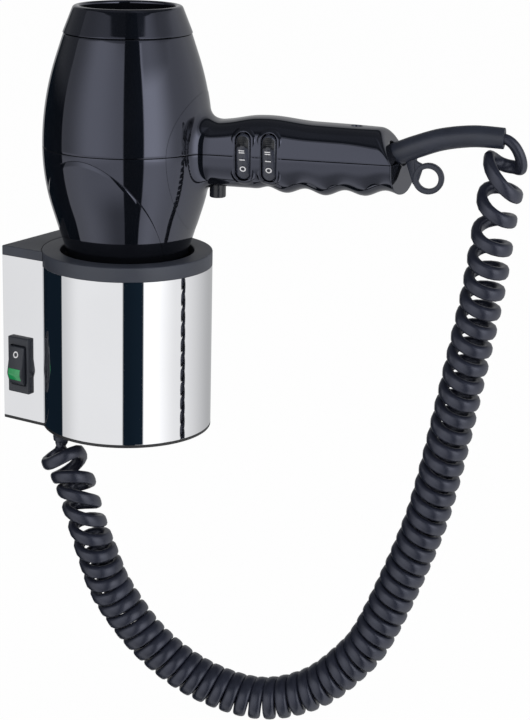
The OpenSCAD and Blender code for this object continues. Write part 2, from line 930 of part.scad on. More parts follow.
// Height of the pivot below the handle's side
handle_pivot = 4;
slot_w = pill_w - 2 * pill_rim;
slot_h = pill_h - 2 * pill_rim;
key_w = slot_w - 2 * rocker_gap;
key_h = slot_h - 2 * (rocker_gap + swing_gap);
key_half = key_h / 2;
// A rocker seen along the handle, as [into the handle, up] from its pivot
key_outline = [
    [3, -key_half / 3],
    [1, -key_half],
    [-2.4, -key_half],
    [-handle_pivot - 2.2, key_half / 3],
    [-2.6, key_half],
    [1, key_half],
    [3, key_half / 3]
];

module handle_switch_body(s) {
    color([0.04, 0.04, 0.05])
        in_dryer()
            difference() {
                intersection() {
                    translate([0, handle_switch_deep - handle_w / 2, 0]) pill(s, pill_w, pill_h, handle_switch_deep + 1);
                    side_face(pill_out);
                }
                translate([0, switch_floor - handle_w / 2, 0]) pill(s, slot_w, slot_h, handle_w);
                translate([s, handle_pivot - handle_w / 2, 0])
                    rotate([0, 90, 0])
                        cylinder(r = handle_pin_r + run_gap, h = slot_w + 2 * handle_pin_l, center = true);
            }
}

// Pill-shaped rocker with a ridge a third of the way down its face, on two stub pins
module handle_rocker(s) {
    color([0.05, 0.05, 0.06])
        in_dryer()
            translate([s, handle_pivot - handle_w / 2, 0])
                rotate([rocker_tilt, 0, 0]) {
                    intersection() {
                        translate([0, handle_w / 2, 0]) pill(0, key_w, key_h, handle_w);
                        rotate([90, 0, 90]) linear_extrude(pill_w, center = true) polygon(key_outline);
                    }
                    rotate([0, 90, 0])
                        cylinder(r = handle_pin_r, h = slot_w + 2 * (handle_pin_l - pin_end_gap), center = true);
                }
}

module fan_switch_body() {
    handle_switch_body(first_rocker);
}

module fan_rocker() {
    handle_rocker(first_rocker);
}

module heat_switch_body() {
    handle_switch_body(first_rocker + rocker_pitch);
}

module heat_rocker() {
    handle_rocker(first_rocker + rocker_pitch);
}

// Push button under the handle's root, with a flange inside the skin
button_flange = 1.2;
button_edge = 0.8;
button_flange_t = 1.5;
button_low = -handle_below(button_s) - button_out;
button_seat = -handle_below(button_s + button_d / 2 + button_flange) + skin_t + seat_gap;

module push_button() {
    color([0.06, 0.06, 0.07])
        in_dryer()
            translate([button_s, 0, 0]) {
                translate([0, 0, button_low])
                    rotate_extrude()
                        polygon([
                            [0, 0],
                            [button_d / 2 - button_edge, 0],
                            [button_d / 2, button_edge],
                            [button_d / 2, button_seat - button_low + eps],
                            [0, button_seat - button_low + eps]
                        ]);
                translate([0, 0, button_seat]) cylinder(r = button_d / 2 + button_flange, h = button_flange_t);
            }
}

// Spring between the button's flange and its switch
spring_h = 2 * button_travel;
spring_r = 3.2;
spring_wire_r = 0.4;
spring_turns = 4;
spring_low = button_seat + button_flange_t + slip;

module button_spring() {
    steps = 10 * spring_turns;
    rise = spring_h - 2 * spring_wire_r - 2 * slip;
    color("gainsboro")
        in_dryer()
            translate([button_s, 0, spring_low + spring_wire_r])
                loft([
                    for (i = [0:steps])
                        let (turn = 360 * spring_turns * i / steps)
                            [
                                for (j = [0:5])
                                    let (a = 60 * j, r = spring_r + spring_wire_r * cos(a))
                                        [r * cos(turn), r * sin(turn), rise * i / steps + spring_wire_r * sin(a)]
                            ]
                ]);
}

// Switch on a carrier that spans the handle, over the spring
carrier_l = 12;
carrier_h = 7;
carrier_half = handle_beside(button_s + carrier_l / 2) - skin_t - 1.4;

module button_switch() {
    color([0.1, 0.1, 0.1])
        in_dryer() block([carrier_l, 2 * carrier_half, carrier_h], [button_s, 0, spring_low + spring_h]);
}

// Clamp across the handle that grips the cord behind the sleeve
clamp_s = handle_end - 16.5;
clamp_t = 6;
clamp_h = 12;
clamp_low = -8;
clamp_hole_z = -2;
clamp_half = handle_beside(clamp_s) - skin_t - 1.1;

module cord_clamp() {
    color([0.15, 0.15, 0.15])
        in_dryer()
            difference() {
                block([clamp_t, 2 * clamp_half, clamp_h], [clamp_s, 0, clamp_low]);
                translate([clamp_s - clamp_t, 0, clamp_hole_z])
                    rotate([0, 90, 0]) cylinder(d = wire_d, h = 2 * clamp_t);
            }
}

// Screw sunk into the top of the handle that draws the halves together
screw_back = 24.5;
screw_s = handle_end - screw_back;
screw_head_r = 3;
screw_head_h = 2;
screw_sink = 1.2;
screw_d = 3;
boss_r = 4.5;
// Face that the screw's head draws against, and how deep the screw reaches into the front housing
screw_seat = handle_above(screw_s) - screw_sink - screw_head_h;
screw_bite = 10;

module handle_screw() {
    color("dimgray")
        in_dryer()
            translate([screw_s, 0, 0]) {
                translate([0, 0, screw_seat]) cylinder(r = screw_head_r, h = screw_head_h);
                translate([0, 0, slip - screw_bite]) cylinder(d = screw_d, h = screw_seat + screw_bite);
            }
}

// Bend sleeve: swept rubber tube from the handle's end, with the hanging eye on a tab
// Its path is given as [distance past the handle's end, height]
sleeve_knots = [[-10, 0], [-2, 3.8], [9, 8.5], [22, 12.9], [38, 15.3], [54, 15]];
sleeve_path = [for (p = smooth_line(sleeve_knots, 2)) [handle_end + p[0], p[1]]];
sleeve_sides = 20;
eye_s = handle_end + 15;
eye_z = -8.6;
eye_tab_t = eye_t - 0.6;
// The tab widens from the side of the eye to its root in the sleeve
eye_tab_h = 12;
eye_tab_root = 6;
eye_tab_in = 1;
eye_tab_bend = 0.6;
eye_tab_x = eye_tab_in - eye_d / 2;

module sleeve_hole() {
    swept_tube(
        [for (i = [0:4]) sleeve_path[i]],
        [for (i = [0:4]) sleeve_d / 2 + seat_gap],
        sleeve_sides
    );
}

module bend_sleeve() {
    last = len(sleeve_path) - 1;
    radii = [for (i = [0:last]) (sleeve_d + (sleeve_tip_d - sleeve_d) * i / last) / 2];
    color([0.14, 0.14, 0.15])
        in_dryer() {
            swept_tube(sleeve_path, radii, sleeve_sides);
            difference() {
                union() {
                    translate([eye_s, eye_t / 2, eye_z]) rotate([90, 0, 0]) cylinder(d = eye_d, h = eye_t);
                    translate([eye_s, eye_tab_t / 2, eye_z])
                        rotate([90, 0, 0])
                            linear_extrude(eye_tab_t)
                                polygon([
                                    [eps - eye_d / 2, -eye_d / 6],
                                    [-eye_d / 3, -eye_d / 3],
                                    [-eye_d / 6, eye_d / 3],
                                    [-eye_d / 6, eye_d / 2 - eye_tab_bend],
                                    [eye_tab_x, eye_d / 2 + eye_tab_bend],
                                    [eye_tab_x, eye_tab_h],
                                    [eye_tab_x - eye_tab_root, eye_tab_h]
                                ]);
                }
                translate([eye_s, eye_t, eye_z]) rotate([90, 0, 0]) cylinder(d = eye_bore, h = 2 * eye_t);
            }
        }
}

// The cord hangs in the upright plane through the gland and the sleeve's tip.
// Points of that plane: distance from the gland and height.
sleeve_tip = sleeve_path[len(sleeve_path) - 1];
tip_x = sleeve_tip[0] * sin(handle_turn);
tip_y = -cup_y - sleeve_tip[0] * cos(handle_turn);
tip_z = seam_z + sleeve_tip[1];
tip_run = norm([tip_x - gland_x, tip_y - gland_y]);
cord_turn = atan2(tip_y - gland_y, tip_x - gland_x);

// Plain lead from the sleeve's tip down to the spiral, as offsets from the tip
lead_h = 14;
lead_knots = [[seat_gap + 0.2, 0], [5, -1], [8.8, -5], [9.6, -9.5], [8.5, -lead_h - 0.9]];
lead_route = [for (p = smooth_line(lead_knots, 2)) [tip_run + p[0], tip_z + p[1]]];

// Spiral: from the gland's boot down to the loop, then up to the lead.
// Left limb as [share of the run, share of the drop], right limb as [share of the run, share of the climb]
boot_z = base_z - boot_h;
loop_z = boot_z - loop_drop;
climb = tip_z - lead_h - loop_z;
left_limb = [
    [0.02, 0.137], [0.051, 0.306], [0.085, 0.461], [0.126, 0.611], [0.219, 0.808], [0.343, 0.946], [0.486, 1]
];
right_limb = [
    [0.611, 0.028], [0.704, 0.09], [0.764, 0.159], [0.851, 0.331], [0.894, 0.458],
    [0.946, 0.675], [0.973, 0.801], [0.991, 0.925], [1.006, 1]
];
limbs = concat(
    [for (p = left_limb) [p[0] * tip_run, boot_z - p[1] * loop_drop]],
    [for (p = right_limb) [p[0] * tip_run, loop_z + p[1] * climb]]
);
spiral_route = concat([[0, boot_z], [0, boot_z - spiral_d / 3]], smooth_line(limbs, 3));

module in_cord_plane() {
    translate([gland_x, gland_y, 0]) rotate([0, 0, cord_turn]) children();
}

module spiral_cord() {
    color([0.16, 0.16, 0.17])
        in_cord_plane() swept_tube(spiral_route, [for (p = spiral_route) spiral_d / 2], 12);
}

module cord_lead() {
    color([0.16, 0.16, 0.17])
        in_cord_plane() swept_tube(lead_route, [for (p = lead_route) wire_d / 2], 12);
}

wall_plate();
holder_shell();
top_cover();
collar_ring();
inner_cup();
well_floor();
seat_ring();
base_plate();
base_screws();
power_switch_body();
power_rocker();
power_lens();
terminal_block();
cord_gland();
rear_housing();
front_housing();
intake_ring();
intake_grille();
fan_duct();
motor_can();
motor_shaft();
impeller();
mica_boards();
heater_coils();
heat_shield();
thermostat();
thermal_fuse();
outlet_grille();
fan_switch_body();
fan_rocker();
heat_switch_body();
heat_rocker();
push_button();
button_spring();
button_switch();
cord_clamp();
handle_screw();
bend_sleeve();
cord_lead();
spiral_cord();
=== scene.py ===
import json
from math import atan2, cos, pi, radians, sin, sqrt

import bmesh
import bpy
import numpy as np
from mathutils import Matrix, Vector


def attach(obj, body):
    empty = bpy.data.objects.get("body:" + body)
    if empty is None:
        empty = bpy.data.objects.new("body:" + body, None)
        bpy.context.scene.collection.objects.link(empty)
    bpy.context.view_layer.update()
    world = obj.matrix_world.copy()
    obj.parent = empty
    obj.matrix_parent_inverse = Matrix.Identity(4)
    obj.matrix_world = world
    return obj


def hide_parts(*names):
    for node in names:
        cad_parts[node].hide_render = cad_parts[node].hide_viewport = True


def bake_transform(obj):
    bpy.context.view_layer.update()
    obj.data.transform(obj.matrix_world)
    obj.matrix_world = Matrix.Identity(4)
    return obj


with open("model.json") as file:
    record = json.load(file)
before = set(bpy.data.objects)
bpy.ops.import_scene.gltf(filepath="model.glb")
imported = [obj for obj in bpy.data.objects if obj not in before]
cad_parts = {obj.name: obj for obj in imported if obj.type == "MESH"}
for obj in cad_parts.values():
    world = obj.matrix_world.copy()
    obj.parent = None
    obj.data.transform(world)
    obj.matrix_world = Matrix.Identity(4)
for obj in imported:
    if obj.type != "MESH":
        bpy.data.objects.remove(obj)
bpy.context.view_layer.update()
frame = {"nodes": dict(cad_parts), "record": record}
scene = bpy.context.scene
scene.view_settings.view_transform = "Standard"

# Sizes in millimetres, in the frame of the part
MM = 0.001
CUP_Y = 62.0
TOP_Z, BASE_Z = 51.0, -51.0
BASE_T, RIM_T = 1.8, 1.5
SHELL_Z = BASE_Z + BASE_T
COVER_T, COLLAR_H, FLANGE_T, LINER_DEPTH = 5.4, 8.0, 2.4, 5.0
BOX_HALF = 35.0
SEAM_Z = 110.0
BARREL_R = 47.2
REAR_LEN, FRONT_LEN, RING_LEN = 62.0, 84.0, 15.0
HANDLE_END, HANDLE_HALF = 153.0, 17.0
HANDLE_TURN = radians(18 - 90)
BUTTON_S = 52.3


def side_drop(t, r, l):
    """How far the barrel's side has drawn in at t: an arc of radius r up to l, then straight."""
    c = min(t, l)
    return r - sqrt(r * r - c * c) + max(0.0, t - l) * l / sqrt(r * r - l * l)


def barrel_at(t):
    """The barrel's radius at a height over the girth seam."""
    return BARREL_R - (side_drop(t, 160, 50) if t >= 0 else side_drop(-t, 120, 36))


MOUTH_R = barrel_at(-59) + 3.2
HOLDER_R = MOUTH_R + 10.4


def ease(x):
    u = min(1.0, max(0.0, x))
    return u * u * (3 - 2 * u)


# Camera at the photograph's viewing angle
right = Vector((0.57612, -0.81733, 0.00723)).normalized()
ahead = Vector((0.79264, 0.55651, -0.24905)).normalized()
above = right.cross(ahead).normalized()
right = ahead.cross(above)
lens_data = bpy.data.cameras.new("camera")
camera = bpy.data.objects.new("camera", lens_data)
scene.collection.objects.link(camera)
lens_data.lens = 94.763
lens_data.sensor_width = 36
lens_data.shift_x = 0.1389
lens_data.shift_y = -0.0764
lens_data.clip_start = 0.01
at = Vector((-0.83826, -0.67676, 0.28571))
camera.matrix_world = Matrix.Translation(at) @ Matrix((right, above, -ahead)).transposed().to_4x4()
scene.camera = camera


# Shading helpers
def node(tree, kind, **values):
    n = tree.nodes.new(kind)
    for key, value in values.items():
        setattr(n, key, value)
    return n


def set_inputs(n, **values):
    for key, value in values.items():
        n.inputs[key.replace("_", " ")].default_value = value


def math_node(tree, operation, a, b=None, c=None, clamp=False):
    n = node(tree, "ShaderNodeMath", operation=operation, use_clamp=clamp)
    for i, v in enumerate((a, b, c)):
        if v is None:
            continue
        if isinstance(v, (int, float)):
            n.inputs[i].default_value = v
        else:
            tree.links.new(v, n.inputs[i])
    return n.outputs[0]


def step_up(tree, value, low, high):
    n = node(tree, "ShaderNodeMapRange", interpolation_type="SMOOTHSTEP", clamp=True)
    set_inputs(n, From_Min=low, From_Max=high)
    tree.links.new(value, n.inputs["Value"])
    return n.outputs["Result"]


def noise(tree, scale, detail=2.0, where=None, distortion=0.0):
    n = node(tree, "ShaderNodeTexNoise")
    set_inputs(n, Scale=scale, Detail=detail, Distortion=distortion)
    if where is not None:
        tree.links.new(where, n.inputs["Vector"])
    return n.outputs["Fac"]


def two_tones(tree, value, dark, light, low=0.0, high=1.0):
    ramp = node(tree, "ShaderNodeValToRGB")
    for end, colour, spot in zip(ramp.color_ramp.elements, (dark, light), (low, high)):
        end.color = (*colour, 1)
        end.position = spot
    tree.links.new(value, ramp.inputs[0])
    return ramp.outputs[0]


# World: white for the camera and for reflections, with the dark gaps between the studio's soft boxes
world = bpy.data.worlds.new("studio")
scene.world = world
world.use_nodes = True
wt = world.node_tree
wt.nodes.clear()
path = node(wt, "ShaderNodeLightPath")
where = node(wt, "ShaderNodeTexCoord")
split = node(wt, "ShaderNodeSeparateXYZ")
wt.links.new(where.outputs["Generated"], split.inputs[0])
height = split.outputs["Z"]
turn = math_node(wt, "ARCTAN2", split.outputs["Y"], split.outputs["X"])


def times(a, b):
    return math_node(wt, "MULTIPLY", a, b)


def times_add(a, b, c):
    return math_node(wt, "MULTIPLY_ADD", a, b, c)


def less(a, b, clamp=False):
    return math_node(wt, "SUBTRACT", a, b, clamp=clamp)


def most(first, *others):
    for other in others:
        first = math_node(wt, "MAXIMUM", first, other)
    return first


def raised(low, high):
    """0 below one height in the room and 1 above another."""
    return step_up(wt, height, low, high)


def aside(middle):
    """Azimuth measured from a direction that is given in degrees."""
    return math_node(wt, "WRAP", less(turn, radians(middle)), pi, -pi)


def dark_gap(middle, half, soft):
    """1 inside a gap between two soft boxes, given by its azimuth in degrees."""
    off = math_node(wt, "ABSOLUTE", aside(middle))
    return less(1.0, step_up(wt, off, radians(half - soft), radians(half + soft)))


high = raised(-0.25, -0.14)
low = less(1.0, raised(-0.68, -0.38))
pale = times_add(raised(0.0, 0.2), -0.17, 1.0)
gaps = most(dark_gap(-135.6, 13.8, 1.2), times(dark_gap(89, 29, 1.2), pale))
# The outer boxes fade toward their far sides, more so higher up
wide_fade = most(times(dark_gap(112, 30, 22), 0.55), times(dark_gap(-30, 50, 25), 0.3))
fade = most(times(dark_gap(30, 62, 43), 0.52), times(dark_gap(110, 24, 17), 0.27), times(wide_fade, high))
low_fade = times(times(dark_gap(-155, 30, 26), low), 0.58)
# Above the boxes it is dark, in two crisp steps; the right box ends lower, softly, the left one on a slant
crisp = most(times(raised(0.485, 0.515), 0.6), times(raised(0.565, 0.585), 0.97))
right_top = times(dark_gap(-62, 58, 4), raised(0.28, 0.48))
slant = step_up(wt, times_add(aside(131), -0.195, height), 0.36, 0.4)
left_top = times(dark_gap(153, 50, 3), slant)
overhead = most(crisp, times(right_top, 0.55), times(left_top, 0.68))
zenith = times(raised(0.64, 0.8), 0.09)
dark = less(most(gaps, fade, low_fade, overhead), zenith, clamp=True)
# The box beside the first gap is the brightest, most of all higher up, and fades away from the gap
bright = times_add(dark_gap(-112, 21, 19), times_add(high, 1.02, 0.4), 1.0)
bright = times_add(times(dark_gap(171, 21, 19), high), 0.38, bright)
glossy = path.outputs["Is Glossy Ray"]
plain = most(path.outputs["Is Camera Ray"], path.outputs["Is Transmission Ray"])
other = times(less(1.0, most(glossy, plain)), 0.5)
level = math_node(wt, "ADD", most(times(glossy, bright), plain), other)
shade = node(wt, "ShaderNodeMix", data_type="RGBA")
wt.links.new(times(dark, glossy), shade.inputs["Factor"])
shade.inputs[6].default_value = (1, 1, 1, 1)
shade.inputs[7].default_value = (0.006, 0.012, 0.02, 1)
background = node(wt, "ShaderNodeBackground")
wt.links.new(shade.outputs[2], background.inputs["Color"])
wt.links.new(level, background.inputs["Strength"])
wt.links.new(background.outputs[0], node(wt, "ShaderNodeOutputWorld").inputs[0])


def soft_box(name, spot, aim, size, power):
    data = bpy.data.lights.new(name, "AREA")
    data.shape = "RECTANGLE"
    data.size, data.size_y = size
    data.energy = power
    lamp = bpy.data.objects.new(name, data)
    lamp.location = spot
    lamp.rotation_euler = (Vector(aim) - Vector(spot)).to_track_quat("-Z", "Y").to_euler()
    lamp.visible_glossy = lamp.visible_camera = False
    scene.collection.objects.link(lamp)


soft_box("key", (-1.6, -0.5, 1.0), (0, -0.1, 0.02), (1.2, 1.2), 9)
soft_box("right_box", (0.75, -1.6, 0.5), (0, -0.1, 0.05), (0.9, 1.5), 9)
soft_box("fill", (-0.6, -1.8, 0.3), (0.02, -0.15, 0.0), (1.2, 1.2), 7)

# Floor just below the cord's loop, in metres
FLOOR_Z, FLOOR_HALF = -0.2216, 6.0


def stage_floor():
    mesh = bpy.data.meshes.new("floor")
    corners = [(x * FLOOR_HALF, y * FLOOR_HALF, FLOOR_Z) for x, y in ((-1, -1), (1, -1), (1, 1), (-1, 1))]
    mesh.from_pydata(corners, [], [(0, 1, 2, 3)])
    floor = bpy.data.objects.new("floor", mesh)
    scene.collection.objects.link(floor)
    m = bpy.data.materials.new("floor_paper")
    m.use_nodes = True
    t = m.node_tree
    t.nodes.clear()
    ray = node(t, "ShaderNodeLightPath")
    matt = node(t, "ShaderNodeBsdfDiffuse")
    t.links.new(two_tones(t, noise(t, 3.0), (0.80,) * 3, (0.84,) * 3), matt.inputs["Color"])
    glow = node(t, "ShaderNodeEmission")
    mix = node(t, "ShaderNodeMixShader")
    t.links.new(math_node(t, "MULTIPLY", ray.outputs["Is Camera Ray"], 0.98), mix.inputs[0])
    t.links.new(matt.outputs[0], mix.inputs[1])
    t.links.new(glow.outputs[0], mix.inputs[2])
    t.links.new(mix.outputs[0], node(t, "ShaderNodeOutputMaterial").inputs[0])
    mesh.materials.append(m)
    floor.visible_glossy = False


stage_floor()


# Materials: each has its colour, roughness and relief from noise at its own scale
def finish(name, colour, rough, vary, scale, rough_vary, relief, relief_scale, scratches=0.0, **sockets):
    m = bpy.data.materials.new(name)
    m.use_nodes = True
    t = m.node_tree
    shader = next(n for n in t.nodes if n.type == "BSDF_PRINCIPLED")
    where = node(t, "ShaderNodeTexCoord").outputs["Object"]
    cloud = noise(t, scale, 4.0, where)
    dark = [c * (1 - vary) for c in colour]
    light = [min(1.0, c * (1 + vary)) for c in colour]
    t.links.new(two_tones(t, cloud, dark, light, 0.3, 0.7), shader.inputs["Base Color"])
    spread = node(t, "ShaderNodeMapRange")
    set_inputs(spread, To_Min=max(0.0, rough - rough_vary), To_Max=rough + rough_vary)
    t.links.new(cloud, spread.inputs["Value"])
    roughness = spread.outputs["Result"]
    if scratches:
        marks = noise(t, 60.0, 6.0, where, 2.5)
        lines = math_node(t, "ABSOLUTE", math_node(t, "SUBTRACT", marks, 0.5))
        lines = math_node(t, "SUBTRACT", 1.0, step_up(t, lines, 0.0, 0.012))
        roughness = math_node(t, "MULTIPLY_ADD", lines, scratches, roughness)
    t.links.new(roughness, shader.inputs["Roughness"])
    bump = node(t, "ShaderNodeBump")
    set_inputs(bump, Strength=relief, Distance=0.0002)
    t.links.new(noise(t, relief_scale, 3.0, where), bump.inputs["Height"])
    t.links.new(bump.outputs[0], shader.inputs["Normal"])
    set_inputs(shader, **sockets)
    return m


# By slot: colour, roughness, colour variation and its scale, roughness variation, relief and its scale
SLOTS = {}
METAL = {"Metallic": 1.0}
for slot, *look, sockets in (
    ("chrome_shell", (0.76, 0.765, 0.785), 0.035, 0.02, 12, 0.01, 0.01, 25, {"scratches": 0.015, **METAL}),
    ("anthracite", (0.034, 0.039, 0.054), 0.48, 0.10, 60, 0.05, 0.25, 2200, {"IOR": 1.52}),
    ("dark_base", (0.012, 0.012, 0.014), 0.5, 0.15, 60, 0.05, 0.2, 1800, {}),
    ("cup_plastic", (0.006, 0.006, 0.007), 0.6, 0.15, 60, 0.06, 0.2, 1500, {}),
    ("soft_rubber", (0.021, 0.025, 0.040), 0.42, 0.15, 90, 0.06, 0.3, 1600, {"IOR": 1.5}),
    ("cord_jacket", (0.014, 0.016, 0.027), 0.34, 0.14, 120, 0.06, 0.1, 1300,
     {"IOR": 1.6, "Specular_Tint": (0.82, 0.85, 1.0, 1.0)}),
    ("screw_steel", (0.55, 0.55, 0.56), 0.28, 0.08, 200, 0.06, 0.2, 1200, METAL),
    ("switch_plastic", (0.022, 0.025, 0.034), 0.42, 0.12, 120, 0.05, 0.3, 2600, {}),
    ("green_lens", (0.010, 0.30, 0.085), 0.22, 0.15, 220, 0.05, 0.1, 900,
     {"IOR": 1.49, "Coat_Weight": 0.5, "Coat_Roughness": 0.08}),
    ("terminal_plastic", (0.72, 0.68, 0.58), 0.5, 0.05, 90, 0.05, 0.2, 1500, {}),
    ("gloss_housing", (0.0042, 0.0047, 0.0062), 0.045, 0.15, 30, 0.02, 0.02, 60,
     {"scratches": 0.02, "IOR": 1.78, "Specular_Tint": (0.73, 0.77, 1.0, 1.0)}),
    ("grille_plastic", (0.013, 0.0145, 0.020), 0.24, 0.12, 90, 0.05, 0.15, 1500, {}),
    ("duct_plastic", (0.66, 0.62, 0.52), 0.5, 0.06, 60, 0.05, 0.2, 1500, {}),
    ("motor_steel", (0.5, 0.5, 0.51), 0.32, 0.08, 120, 0.06, 0.15, 800, METAL),
    ("fan_plastic", (0.05, 0.05, 0.055), 0.45, 0.1, 90, 0.05, 0.2, 1500, {}),
    ("mica", (0.62, 0.52, 0.36), 0.4, 0.22, 160, 0.1, 0.3, 700, {}),
    ("heating_wire", (0.33, 0.24, 0.19), 0.4, 0.2, 300, 0.1, 0.2, 900, METAL),
    ("shield_steel", (0.55, 0.55, 0.56), 0.35, 0.08, 120, 0.06, 0.15, 700, METAL),
    ("fuse_brass", (0.62, 0.46, 0.20), 0.3, 0.1, 200, 0.06, 0.15, 900, METAL),
    ("rocker_plastic", (0.033, 0.037, 0.054), 0.27, 0.12, 120, 0.05, 0.1, 2200, {"IOR": 1.55}),
    ("spring_steel", (0.5, 0.5, 0.5), 0.3, 0.08, 300, 0.05, 0.1, 900, METAL),
    ("clamp_plastic", (0.05, 0.05, 0.055), 0.5, 0.1, 90, 0.05, 0.2, 1500, {}),
):
    SLOTS[slot] = finish(slot, *look, **sockets)
# Painted shade: a dark finish for the ribbed sheet that stands in for the shade inside the rockers' hollows
ribbed_hollow_painted_shade = finish("ribbed_hollow_painted_shade", (0.007, 0.008, 0.011), 0.4, 0.1, 200, 0.05, 0.1, 2000)
white_print = finish("white_print", (0.78, 0.78, 0.80), 0.5, 0.05, 400, 0.05, 0.2, 3000)


# Meshes: grids of points in millimetres, joined into one piece
class Shape:
    def __init__(self):
        self.points = []
        self.faces = []

    def grid(self, rows, wrap=True, first=False, last=False, keep=None):
        """Faces between rows of points, and caps over the first and last row where wanted."""
        rows = np.asarray(rows, float)
        n, m = rows.shape[:2]
        at = (len(self.points) + np.arange(n * m).reshape(n, m)).tolist()
        self.points.extend(rows.reshape(-1, 3).tolist())
        for i in range(n - 1):
            for j in range(m if wrap else m - 1):
                if keep is None or keep[i, j]:
                    k = (j + 1) % m
                    self.faces.append((at[i][j], at[i][k], at[i + 1][k], at[i + 1][j]))
        if first:
            self.faces.append(at[0][::-1])
        if last:
            self.faces.append(at[-1])
        return self

    def closed(self, rows):
        """A grid with a cap over both its ends."""
        return self.grid(rows, True, True, True)

    def piece(self, name, body, slot, replaces, sharp, material=None, ride=True):
        mesh = bpy.data.meshes.new(name)
        mesh.from_pydata([tuple(v * MM for v in p) for p in self.points], [], self.faces)
        bm = bmesh.new()
        bm.from_mesh(mesh)
        bmesh.ops.remove_doubles(bm, verts=bm.verts, dist=2e-7)
        bmesh.ops.recalc_face_normals(bm, faces=bm.faces)
        bm.to_mesh(mesh)
        bm.free()
        for p in mesh.polygons:
            p.use_smooth = True
        mesh.set_sharp_from_angle(angle=radians(sharp))
        mesh.materials.append(material or SLOTS[slot])
        obj = bpy.data.objects.new(name, mesh)
        scene.collection.objects.link(obj)
        if ride:
            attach(obj, body)
        if replaces:
            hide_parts(*replaces)
        return obj


def around(n):
    """Angles of n points all the way round."""
    return np.linspace(0, 2 * pi, n, endpoint=False)


def bulge(v, power):
    return np.sign(v) * abs(v) ** power


def bend(start, corner, end, u):
    """Point of the curve from start to end, drawn toward the corner."""
    return (1 - u) ** 2 * start + 2 * u * (1 - u) * corner + u * u * end


def looped(line):
    return np.vstack([line, line[:1]])


def rounded(points, steps, closed=False):
    """Polyline through (x, y, r) corners, each rounded over a length r."""
    out = []
    n = len(points)
    for i, (x, y, r) in enumerate(points):
        p = np.array((x, y))
        if r <= 0 or (not closed and i in (0, n - 1)):
            out.append(p)
            continue
        a = np.array(points[i - 1][:2]) - p
        b = np.array(points[(i + 1) % n][:2]) - p
        a *= min(r, 0.5 * np.linalg.norm(a)) / np.linalg.norm(a)
        b *= min(r, 0.5 * np.linalg.norm(b)) / np.linalg.norm(b)
        for k in range(steps + 1):
            u = k / steps
            out.append(p + a * (1 - u) ** 2 + b * u * u)
    return np.array(out)


def revolve(profile, n, middle=(0.0, -CUP_Y, 0.0)):
    a = around(n)
    x = profile[:, :1] * np.cos(a) + middle[0]
    y = profile[:, :1] * np.sin(a) + middle[1]
    z = np.repeat(profile[:, 1:2], n, 1) + middle[2]
    return np.stack([x, y, z], -1)


def in_dryer(points):
    """Points given along the handle, across it and up from the girth seam, in the frame of the part."""
    x, y, z = np.moveaxis(np.asarray(points, float), -1, 0)
    c, s = cos(HANDLE_TURN), sin(HANDLE_TURN)
    return np.stack([c * x - s * y, s * x + c * y - CUP_Y, z + SEAM_Z], -1)


def offset(outline, d):
    """A closed outline moved in by d, to its left side."""
    before = np.roll(outline, 1, 0)
    after = np.roll(outline, -1, 0)
    e0 = outline - before
    e1 = after - outline
    n0 = np.stack([-e0[:, 1], e0[:, 0]], 1) / np.linalg.norm(e0, axis=1)[:, None]
    n1 = np.stack([-e1[:, 1], e1[:, 0]], 1) / np.linalg.norm(e1, axis=1)[:, None]
    mid = n0 + n1
    mid /= np.maximum(1e-9, (mid * mid).sum(1) / 2)[:, None]
    return outline + mid * d


def slab(outline, low, high, edge_low, edge_high):
    """Upright prism on a plan outline, counter-clockwise, with rounded lower and upper edges."""
    steps = 4
    levels = []
    for edge, z, sign in ((edge_low, low, 1), (edge_high, high, -1)):
        angles = [pi / 2 * k / steps for k in range(steps + 1)]
        levels += [(edge * (1 - sin(a)), z + sign * edge * (1 - cos(a))) for a in angles[::sign]]
    rows = [np.column_stack([offset(outline, inset), np.full(len(outline), z)]) for inset, z in levels]
    return Shape().closed(rows)


def layers(outline, edge):
    """A plate with an (x, z) outline, its ends rounded by steps of (y, inset), the outermost first."""
    steps = [(-y, inset) for y, inset in edge] + list(reversed(edge))
    return np.array([[(x, y, z) for x, z in offset(outline, inset)] for y, inset in steps])


def smooth_line(knots, steps):
    """Smooth curve through the knots, with a number of steps from each to the next."""
    knots = np.asarray(knots, float)
    last = len(knots) - 1
    out = []
    for i in range(last):
        a, b, c, d = knots[max(i - 1, 0)], knots[i], knots[i + 1], knots[min(i + 2, last)]
        for k in range(steps):
            u = k / steps
            out.append(b + u * (c - a) / 2 + u * u * (a - 2.5 * b + 2 * c - d / 2)
                       + u ** 3 * (1.5 * b - a / 2 - 1.5 * c + d / 2))
    out.append(knots[last])
    return np.array(out)


# Spiral cord: one wire from the gland's boot through the spiral to the sleeve's tip
GLAND = np.array((-25.0, -34.0))
BOOT_Z = BASE_Z - 10
LOOP_DROP, STRAIGHT_DROP, AXIS_BELOW_TIP, AXIS_SHORT = 147.0, 8.3, 14, 3.8
SLEEVE_TIP = in_dryer((HANDLE_END + 54.0, 0, 15.0))
tip_run = float(np.linalg.norm(SLEEVE_TIP[:2] - GLAND))
along = (SLEEVE_TIP[:2] - GLAND) / tip_run
loop_z = BOOT_Z - LOOP_DROP
climb = SLEEVE_TIP[2] - AXIS_BELOW_TIP - loop_z
TIP_OVER, LAST_LEAN, LAST_PART = 2.0, 5.9, 0.23
WIRE_THICK, WIRE_WIDE, STEPS_PER_TURN = 2.75, 3.6, 18
LEFT_LIMB = [(0.026, 0.137), (0.057, 0.306), (0.089, 0.461), (0.126, 0.611), (0.219, 0.808),
             (0.343, 0.946), (0.486, 1)]
RIGHT_LIMB = [(0.611, 0.028), (0.704, 0.09), (0.764, 0.159), (0.851, 0.331), (0.894, 0.458),
              (0.946, 0.675), (0.973, 0.801), (0.991, 0.925), (1.006, 1)]


